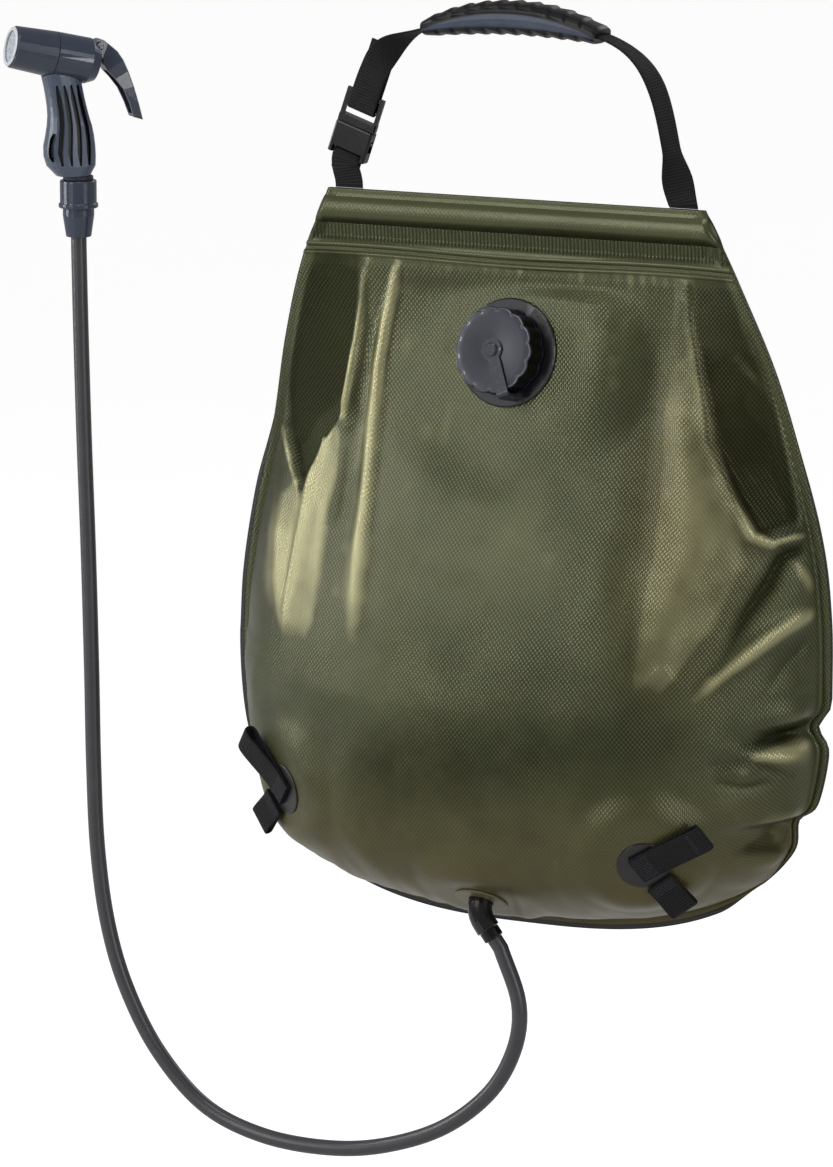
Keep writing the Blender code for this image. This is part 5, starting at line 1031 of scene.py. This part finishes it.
points, painted_tone = front_points()
front = sheet("bag_front", points, True, front_finish, painted_tone)
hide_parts("front_panel")
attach(front, "bag")
back = sheet("bag_back", back_points(), False, back_finish)
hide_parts("back_panel")
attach(back, "bag")


# Hose: the same route as the CAD hose

HOSE_Y = -0.05962
HOSE_START = (0.0121, -0.7315)
HOSE_TOP = (-0.3676, -0.1789)
HOSE_WAY = (math.cos(math.radians(53)), -math.sin(math.radians(53)))
HOSE_ROUTE = (
    (0.0339, -0.7829), (0.0304, -0.8209), (0.0084, -0.8609), (-0.0336, -0.8959), (-0.0866, -0.9179),
    (-0.1396, -0.9269), (-0.2016, -0.9239), (-0.2556, -0.9049), (-0.2996, -0.8629), (-0.3296, -0.8109),
    (-0.3466, -0.7579), (-0.3556, -0.6949), (-0.3586, -0.6229), (-0.3596, -0.5429), (-0.3616, -0.4429),
    (-0.3646, -0.3429), (-0.3666, -0.2529),
)
HOSE_RADIUS = 0.0065
HOSE_LEAD = 0.009
HOSE_POINTS = 170


def build_hose():
    onward = (HOSE_START[0] + HOSE_WAY[0] * HOSE_LEAD, HOSE_START[1] + HOSE_WAY[1] * HOSE_LEAD)
    middle = through([onward, *HOSE_ROUTE, (HOSE_TOP[0], HOSE_TOP[1] - HOSE_LEAD)], HOSE_POINTS)
    points = [HOSE_START, *middle.tolist(), HOSE_TOP]
    curve = bpy.data.curves.new("hose_line", "CURVE")
    curve.dimensions = "3D"
    line = curve.splines.new("POLY")
    line.points.add(len(points) - 1)
    for knot, (x, z) in zip(line.points, points):
        knot.co = (x, HOSE_Y, z, 1)
    line.use_smooth = True
    curve.bevel_depth = HOSE_RADIUS
    curve.bevel_resolution = 8
    curve.use_fill_caps = True
    item = bpy.data.objects.new("hose_line", curve)
    bpy.context.scene.collection.objects.link(item)
    curve.materials.append(hose_finish)
    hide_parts("hose")
    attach(item, "bag")


build_hose()


# Straps

Y_AXIS = Vector((0, 1, 0))
UP = Vector((0, 0, 1))
GRIP_LENGTH = 0.156
GRIP_RADIUS = 0.265
GRIP_HEIGHT = 0.025
GRIP_HALF_ANGLE = GRIP_LENGTH / (2 * GRIP_RADIUS)
BUCKLE_TILT = math.radians(19.0)
BUCKLE_UP = Vector((math.sin(BUCKLE_TILT), 0, math.cos(BUCKLE_TILT)))
BUCKLE_ACROSS = Vector((BUCKLE_UP.z, 0, -BUCKLE_UP.x))
BUCKLE_POINT = Vector((-0.1415, 0, -0.0820))
SHOULDER_LENGTH = 0.0065
LADDER_LENGTH = 0.0185
BAR_THICKNESS = 0.0034
FEMALE_LENGTH = 0.0270
LAYER = BAR_THICKNESS / 2 + SEAT_GAP + STRAP_THICKNESS / 2
TURN_STEPS = 12
TAIL_LENGTH = 0.056
TAIL_LEAN = math.radians(2.0)
LOWER_TAIL_LENGTH = 0.015
NECK_GAP = 0.002
RIGHT_STRAP_WAY = Vector((-0.30, 0, 0.954))
RIPPLES_PER_METRE = (71.0, 163.0)
EDGE_SHIFT = 0.0004


def bezier(start, start_way, end, end_way, count):
    reach = (end - start).length
    a = start + start_way * (reach * 0.46)
    b = end - end_way * (reach * 0.42)
    made = []
    for i in range(count + 1):
        t = i / count
        point = start * (1 - t) ** 3 + a * (3 * t * (1 - t) ** 2) + b * (3 * t * t * (1 - t)) + end * t**3
        way = (a - start) * (1 - t) ** 2 + (b - a) * (2 * t * (1 - t)) + (end - b) * t**2
        made.append((point, way.normalized()))
    return made


def grip_station(angle):
    way = Vector((math.cos(angle), 0, -math.sin(angle)))
    up = Vector((math.sin(angle), 0, math.cos(angle)))
    return Vector((0, 0, GRIP_HEIGHT / 2 - GRIP_RADIUS)) + up * GRIP_RADIUS, way, up


def twisted(point, way, turn):
    """A strap station whose width turns from the plane of the arch, at 0, to the y axis, at 1."""
    side = Vector((way.z, 0, -way.x))
    if way.z < 0:
        side = -side
    across = side * math.cos(math.pi / 2 * turn) + Y_AXIS * math.sin(math.pi / 2 * turn)
    return point, across, way.cross(across).normalized()


def turn_round(bar, side, away):
    stations = []
    for i in range(TURN_STEPS + 1):
        angle = math.pi * i / TURN_STEPS
        out = side * math.cos(angle) + away * math.sin(angle)
        stations.append((bar + out * LAYER, BUCKLE_ACROSS, out))
    return stations


def signed(stations):
    made = [stations[0]]
    for point, across, out in stations[1:]:
        before = made[-1]
        across = -across if across.dot(before[1]) < 0 else across
        out = -out if out.dot(before[2]) < 0 else out
        made.append((point, across, out))
    return made


def ribbon(name, stations, thickness, body, replaced, wave=0.0):
    """A strap with rounded edges, its flat place kept for the weave."""
    half = STRAP_WIDTH / 2
    flat = [(a, -1.0) for a in (-0.9, -0.45, 0.0, 0.45, 0.9)]
    profile = [(-1.0, 0.0), (-0.97, -0.7), *flat, (0.97, -0.7)]
    profile += [(-a, -b) for a, b in profile]
    rings, places = [], []
    gone = 0.0
    for i, (point, across, out) in enumerate(stations):
        if i:
            gone += (point - stations[i - 1][0]).length
        slow, quick = (gone * count for count in RIPPLES_PER_METRE)
        ripple = wave * (math.sin(slow) + 0.6 * math.sin(quick + 1.0))
        lifts = [thickness / 2 * b + ripple * (1 - a * a * 0.3) for a, b in profile]
        rings.append([point + across * (half * a) + out * lift for (a, _), lift in zip(profile, lifts)])
        places.append([(gone + (EDGE_SHIFT if b > 0 else 0), a * half) for a, b in profile])
    mesh = skin(name, rings, places=places, angle=60)
    object_of(name, mesh, body, replaced)
    mesh.materials.append(strap_finish)


def strap_foot(x):
    stations = []
    for low_share, thin_share in ((0.98, 0.25), (0.6, 0.8)):
        foot = Vector((x, 0, HINGE_Z)) - UP * (STRAP_THICKNESS / 2 * low_share)
        point, across, out = twisted(foot, UP, 0)
        stations.append((point, across, out * thin_share))
    return stations


def build_carry_strap():
    """The handle webbing: from the hem's right end through the grip, down to the buckle and round its bar."""
    foot = Vector((STRAP_X, 0, HINGE_Z))
    stations = strap_foot(STRAP_X)
    end, way, _ = grip_station(GRIP_HALF_ANGLE)
    for i, (point, tangent) in enumerate(bezier(foot, RIGHT_STRAP_WAY, end, -way, 44)):
        if i:
            turn = 0.88 * float(ease(i / 11)) + 0.12 * float(ease((i - 24) / 16))
            stations.append(twisted(point, tangent, turn))
    for i in range(1, 16):
        point, way, _ = grip_station(GRIP_HALF_ANGLE * (1 - 2 * i / 16))
        stations.append(twisted(point, -way, 1))
    end, way, _ = grip_station(-GRIP_HALF_ANGLE)
    top = BUCKLE_POINT + BUCKLE_UP * (SHOULDER_LENGTH + LADDER_LENGTH + BAR_THICKNESS) - Y_AXIS * LAYER
    for i, (point, tangent) in enumerate(bezier(end, -way, top, -BUCKLE_UP, 36)):
        stations.append(twisted(point, tangent, 1 - float(ease(i / 30))))
    bar = BUCKLE_POINT + BUCKLE_UP * (SHOULDER_LENGTH + LADDER_LENGTH / 2)
    stations += turn_round(bar, -Y_AXIS, -BUCKLE_UP)
    tail_way = BUCKLE_UP * math.cos(TAIL_LEAN) + Y_AXIS * math.sin(TAIL_LEAN)
    tail_out = Y_AXIS * math.cos(TAIL_LEAN) - BUCKLE_UP * math.sin(TAIL_LEAN)
    for i in range(1, 13):
        point = bar + Y_AXIS * LAYER + tail_way * (TAIL_LENGTH * i / 12)
        stations.append((point, BUCKLE_ACROSS, -tail_out))
    ribbon("carry_strap", signed(stations), STRAP_THICKNESS, "handle", ("handle_strap",))


def build_buckle_strap():
    """The short webbing from the hem's left end round the buckle's lower bar."""
    bar = BUCKLE_POINT - BUCKLE_UP * (FEMALE_LENGTH - BAR_THICKNESS / 2)
    stations = strap_foot(-STRAP_X)
    reach = bezier(Vector((-STRAP_X, 0, HINGE_Z)), UP, bar - Y_AXIS * LAYER, BUCKLE_UP, 16)
    stations += [twisted(point, tangent, 0) for point, tangent in reach[:-1]]
    stations += turn_round(bar, -Y_AXIS, BUCKLE_UP)
    for i in range(1, 6):
        point = bar + Y_AXIS * LAYER - BUCKLE_UP * (LOWER_TAIL_LENGTH * i / 5)
        stations.append((point, BUCKLE_ACROSS, Y_AXIS))
    ribbon("buckle_strap", signed(stations), STRAP_THICKNESS, "handle", ("lower_strap",))


def build_hem_tape(name, x):
    """The webbing inside the hem, from its top edge to the loop round the rod."""
    top = HINGE_Z - STRAP_THICKNESS / 2 - SEAT_GAP
    neck = ROD_Z + ROD_LOOP_RADIUS - STRAP_THICKNESS / 2 + NECK_GAP
    stations = []
    for i in range(5):
        place = Vector((x, 0, top + (neck - top) * i / 4))
        stations.append((place, Vector((1, 0, 0)), Y_AXIS * (1.0 if i else 0.8)))
    ribbon(name, signed(stations), STRAP_THICKNESS, "bag", ())


build_carry_strap()
build_buckle_strap()
build_hem_tape("hem_tape_left", -STRAP_X)
build_hem_tape("hem_tape_right", STRAP_X)


# Tabs on the two patches, and their stitches

PATCH_THICKNESS = 0.0014
TAB_STRAP = 0.0016
TAB_WAVE = 0.00006
TAB_POINTS = 72
UPPER_TAB = (-0.007, 0.066)
LOWER_TAB = (0.0195, 0.034)
LOWER_TAB_LOOP = 0.0030
ROW_START = 0.0022
ROW_STEP = 0.0017
TIP_ROW_STEP = 0.0016
TIP_ROW_SHARES = (0.78, 0.80)
STITCHES_A_ROW = 9
STITCH_SPAN_SHARE = 0.86
STITCH_LENGTH_SHARE = 0.40
STITCH_WIDTH = 0.00036
STITCH_HEIGHT = 0.00030
STITCH_ROOT = 0.0002
CORNERS = ((-1, -1), (1, -1), (1, 1), (-1, 1))


def seat_frame(item_seat):
    centre, outward, _ = item_seat
    return axes_frame(centre, (1, 0, 0), outward)


def tab_path(start, length, radius):
    """A strap's line, out from its stitches, round a loop at its tip and back, as distance out and height."""
    low = PATCH_THICKNESS + SEAT_GAP + TAB_STRAP / 2
    high = low + TAB_STRAP + SEAT_GAP
    end = start + length - TAB_STRAP / 2
    marks = (
        (start, low),
        (start + 0.3 * length, low),
        (end - 2.4 * radius, low),
        (end - 0.5 * radius, low + 0.14 * radius),
        (end, low + radius),
        (end - 0.5 * radius, low + 1.86 * radius),
        (end - 2.4 * radius, max(low + 1.9 * radius, high)),
        (start + 0.42 * length, high + 0.35 * radius),
        (start + 0.22 * length, high),
        (start, high),
    )
    return through(marks, TAB_POINTS)


def build_tab(name, body, frame_of_patch, degrees, reach, radius, tip_rows):
    start, length = reach
    turn = frame_of_patch.to_3x3() @ Matrix.Rotation(math.radians(degrees), 3, "Z")
    along, across, up = turn.transposed()
    origin = frame_of_patch.translation
    path = tab_path(start, length, radius)
    stations = []
    for i, (out, height) in enumerate(path):
        step = path[min(i + 1, len(path) - 1)] - path[max(i - 1, 0)]
        way = Vector(step).normalized()
        inward = along * -way.y + up * way.x
        stations.append((origin + along * out + up * height, across, inward))
    ribbon(name, stations, TAB_STRAP, body, (name,), TAB_WAVE)
    top = path[-1][1] + TAB_STRAP / 2
    rows = [(start + ROW_START + ROW_STEP * i, top) for i in range(8)]
    if tip_rows:
        back = path[::-1][:30]
        near, first = (start + length * share for share in TIP_ROW_SHARES)
        level = float(np.interp(near, back[:, 0], back[:, 1])) + TAB_STRAP / 2
        rows += [(first + TIP_ROW_STEP * i, level) for i in range(3)]
    bm = bmesh.new()
    for row, height in rows:
        stitch_row(bm, origin + along * row + up * height, across, along, up)
    mesh = mesh_of(bm, name + "_stitches")
    mesh.materials.append(stitch_finish)
    object_of(name + "_stitches", mesh, body)


def stitch_row(bm, middle, across, along, up):
    """A row of short raised stitches over the width of a tab."""
    span = STRAP_WIDTH * STITCH_SPAN_SHARE
    long = span / STITCHES_A_ROW * STITCH_LENGTH_SHARE
    for i in range(STITCHES_A_ROW):
        at = middle + across * (span * ((i + 0.5) / STITCHES_A_ROW - 0.5))
        sides = [along * (b * STITCH_WIDTH * 0.5) for _, b in CORNERS]
        ends = [across * (a * long) for a, _ in CORNERS]
        low = [bm.verts.new(at + end + side - up * STITCH_ROOT) for end, side in zip(ends, sides)]
        top = [bm.verts.new(at + end * 0.6 + side + up * STITCH_HEIGHT) for end, side in zip(ends, sides)]
        bm.faces.new(low[::-1])
        bm.faces.new(top)
        for j in range(4):
            k = (j + 1) % 4
            bm.faces.new((low[j], low[k], top[k], top[j]))


# Side, seat, the directions of the upper and the lower tab in degrees, and the upper tab's loop radius
TAB_PAIRS = (("left", LEFT_SEAT, 142.0, -132.0, 0.0046), ("right", RIGHT_SEAT, 24.0, -60.0, 0.0030))

for side, patch, upper, lower, loop in TAB_PAIRS:
    at = seat_frame(patch)
    build_tab("upper_tab_" + side, "tab_upper_" + side, at, upper, UPPER_TAB, loop, side == "right")
    build_tab("lower_tab_" + side, "tab_lower_" + side, at, lower, LOWER_TAB, LOWER_TAB_LOOP, False)


# Filler cap: a lobed cap with a rounded rim, a slightly dished face and a hole for its tether's pin

CAP_BASE = 0.0039
CAP_RADIUS = 0.0355
CAP_LOBES = 14
CAP_LOBE_DEPTH = 0.0019
CAP_BORE = 0.0284
CAP_HOLE = 0.0033
CAP_ROUND = 0.0014
CAP_TOP = 0.0263
CAP_PLATE = 0.0032
CAP_LIP = 0.0001
CAP_LIP_HEIGHTS = (0.0007, 0.0022)
CAP_GRIP_SINK = 0.0003
CAP_GRIP_GAPS = (0.0030, 0.0004)
CAP_FOOT = 0.0006
CAP_BOSS = (0.0100, 0.0125)
CAP_DISH = 0.0003
# Steps of the cap's face inwards from its rim: distance, share of the lobes and drop
CAP_FACE = ((0.0026, 0.8, 0.0001), (0.0045, 0.3, CAP_DISH), (0.0075, 0.0, CAP_DISH))
CAP_STEPS = CAP_LOBES * 16


def lobed(radius, share):
    """Radii round the cap: shallow scallops between its lobes, fading inwards with share."""
    angle = np.arange(CAP_STEPS) * 2 * math.pi / CAP_STEPS
    scallop = 1 - np.abs(np.cos(angle * CAP_LOBES / 2)) ** 0.8
    return radius - CAP_LOBE_DEPTH * share * scallop, angle


def build_cap():
    grip = CAP_RADIUS - CAP_GRIP_SINK
    profile = [
        (CAP_BORE, 0.0, CAP_TOP - CAP_PLATE),
        (CAP_BORE, 0.0, CAP_BASE),
        (CAP_RADIUS - CAP_FOOT, 1.0, CAP_BASE),
        (CAP_RADIUS + CAP_LIP, 1.0, CAP_BASE + CAP_LIP_HEIGHTS[0]),
        (CAP_RADIUS + CAP_LIP, 1.0, CAP_BASE + CAP_LIP_HEIGHTS[1]),
        (grip, 1.05, CAP_BASE + CAP_GRIP_GAPS[0]),
        (grip, 1.05, CAP_TOP - CAP_ROUND - CAP_GRIP_GAPS[1]),
        (CAP_RADIUS, 1.0, CAP_TOP - CAP_ROUND),
    ]
    for i in range(1, 5):
        a = math.pi / 2 * i / 4
        inward, drop = CAP_ROUND * (1 - math.cos(a)), CAP_ROUND * (1 - math.sin(a))
        profile.append((CAP_RADIUS - inward, 1.0, CAP_TOP - drop))
    profile += [(CAP_RADIUS - inward, share, CAP_TOP - drop) for inward, share, drop in CAP_FACE]
    profile += [
        (CAP_BOSS[1], 0.0, CAP_TOP - CAP_DISH),
        (CAP_BOSS[0], 0.0, CAP_TOP),
        (CAP_HOLE, 0.0, CAP_TOP),
        (CAP_HOLE, 0.0, CAP_TOP - CAP_PLATE),
    ]
    at = seat_frame(FILLER_SEAT)
    rings = []
    for radius, share, height in profile:
        radii, angle = lobed(radius, share)
        rings.append([at @ Vector((r * math.cos(a), r * math.sin(a), height)) for r, a in zip(radii, angle)])
    mesh = skin("filler_cap", rings, closed=True, angle=32)
    for finish in (cap_plastic, cap_side_painted_shade, cap_rim_painted_glint):
        mesh.materials.append(finish)
    axis = FILLER_SEAT[1]
    # Side faces take painted shade, and the rounded rim's upper faces a painted glint
    for face in mesh.polygons:
        slope = face.normal.dot(axis)
        face.material_index = 1 if abs(slope) < 0.35 else 2 if 0.88 < slope < 0.99 else 0
    object_of("filler_cap", mesh, "cap", ("cap_skirt", "cap_top"))


build_cap()


# Floor, world and lights

FLOOR_Z = -1.30
FLOOR_SIZE = 14
FLOOR_GLOW = 0.86
WORLD_LIGHT = 0.22
WORLD_WHITE = 1.0
LAMP_AIM = Vector((0, 0, -0.45))


def build_stage():
    n = Nodes("floor")
    where = n.put("ShaderNodeTexCoord", output="Object")
    shade = n.mix(n.noise(where, 2.0, 2.0), (0.46, 0.46, 0.46), (0.49, 0.49, 0.48))
    glow = n.watched(0.4) * FLOOR_GLOW
    n.finish(shade, 0.85, Specular_IOR_Level=0.1, Emission_Color=(1.0, 1.0, 1.0), Emission_Strength=glow)
    bm = bmesh.new()
    bmesh.ops.create_grid(bm, x_segments=4, y_segments=4, size=FLOOR_SIZE)
    bmesh.ops.translate(bm, verts=bm.verts, vec=(0, 0, FLOOR_Z))
    floor = object_of("floor", mesh_of(bm, "floor"))
    floor.data.materials.append(n.owner)

    w = Nodes("studio", world=True)
    bpy.context.scene.world = w.owner
    strength = w.math("MULTIPLY_ADD", w.watched(0.12), WORLD_WHITE - WORLD_LIGHT, WORLD_LIGHT)
    w.feed(w.shader.inputs["Color"], (1.0, 1.0, 1.0))
    w.feed(w.shader.inputs["Strength"], strength)


def lamp(name, place, size, power):
    data = bpy.data.lights.new(name, "AREA")
    data.shape = "RECTANGLE"
    data.size, data.size_y = size
    data.energy = power
    item = bpy.data.objects.new(name, data)
    bpy.context.scene.collection.objects.link(item)
    item.location = place
    item.rotation_mode = "QUATERNION"
    item.rotation_quaternion = (LAMP_AIM - Vector(place)).to_track_quat("-Z", "Y")


build_stage()
lamp("left softbox", (-2.7, -1.1, 0.4), (0.45, 2.4), 44)
lamp("front softbox", (-1.35, -3.2, 0.9), (0.6, 2.8), 46)
lamp("right softbox", (2.8, -1.4, 0.2), (0.45, 2.0), 26)
lamp("top softbox", (0.2, -0.7, 2.4), (1.4, 0.6), 18)
lamp("rear softbox", (0.8, 2.8, 1.2), (2.0, 1.6), 18)

scene = bpy.context.scene
scene.view_settings.view_transform = "Standard"


# CAD nodes that show as they are

BAND_HALF = (0.0012, 0.0050)
BAND_DROP = 0.0012
BAND_EDGE = (-0.0002, 0.0003)
BAND_FRONT = (-0.004, -0.007)
LEAF_RIM = (0.0018, 0.0004)
LEAF_STEP = (-0.0008, 0.0008)
GRIP_GRAIN = 0.0003
EDGE_ROUND = 0.00045
WELD_DISTANCE = 0.00001


def grip_finish():
    """The grip's black rubber, with a blue-grey leaf along its front."""
    n = Nodes("grip_rubber")
    where = n.put("ShaderNodeTexCoord", output="Object")
    origin = nodes["grip"].matrix_world.translation
    x, y, z = n.parts(where)
    x = x + origin.x
    z = z + (origin.z - GRIP_HEIGHT / 2 + GRIP_RADIUS)
    reach = n.math("SQRT", x * x + z * z)
    share = n.math("ARCTAN2", x, z) / GRIP_HALF_ANGLE
    half = n.math("SUBTRACT", 1.0, share * share, clamp=True) * BAND_HALF[1] + BAND_HALF[0]
    off = half - n.math("ABSOLUTE", reach - (GRIP_RADIUS - BAND_DROP))
    band = n.ramp(off, *BAND_EDGE) * n.ramp(y + origin.y, *BAND_FRONT)
    slow = n.noise(where, 60.0, 3.0)
    fine = n.noise(where, 1400.0, 4.0)
    rubber = n.mix(slow, linear(6, 6, 8), linear(10, 10, 13))
    leaf = n.mix(slow, linear(52, 60, 74), linear(78, 86, 102))
    leaf = n.mix(n.ramp(off, *LEAF_RIM), leaf, linear(24, 27, 34))
    normal = n.bump(fine * 0.1 + n.ramp(off, *LEAF_STEP), GRIP_GRAIN, 0.7)
    return n.finish(n.mix(band, rubber, leaf), fine * 0.16 + 0.30, normal, Specular_IOR_Level=0.28)


CAD_FINISHES = (
    (rod_plastic, ("hem_rod",)),
    (strap_finish, ("strap_anchor_left", "strap_anchor_right")),
    (grip_finish(), ("grip",)),
    (black_gloss, ("buckle_male", "buckle_female", "prong_left", "prong_right", "hose_ferrule")),
    (flange_painted_shade, ("filler_flange", "filler_neck")),
    (gasket_rubber, ("cap_gasket",)),
    (tether_plastic, ("tether_pin", "cap_tether")),
    (ring_pvc, ("outlet_ring",)),
    (elbow_plastic, ("outlet_elbow",)),
    (patch_pvc, ("patch_left", "patch_right")),
    (head_gloss, ("hose_nut", "head_collar", "barrel_body", "nozzle_sleeve", "trigger_lever", "lever_pin")),
    (head_matt, ("handle_shell",)),
    (core_plastic, ("handle_core", "valve_plunger", "spring_retainer")),
    (seal_rubber, ("neck_seal",)),
    (spray_face, ("spray_plate",)),
    (nozzle_clear, ("spray_ring",)),
    (steel, ("valve_spring",)),
)


def dress_node(item, finish):
    item.data.materials.clear()
    item.data.materials.append(finish)
    weld = item.modifiers.new("join", "WELD")
    weld.merge_threshold = WELD_DISTANCE
    edge = item.modifiers.new("edges", "BEVEL")
    edge.width = EDGE_ROUND
    edge.segments = 2
    edge.limit_method = "ANGLE"
    edge.angle_limit = math.radians(38)
    edge.harden_normals = True


for finish, names in CAD_FINISHES:
    for name in names:
        if not nodes[name].hide_render:
            dress_node(nodes[name], finish)
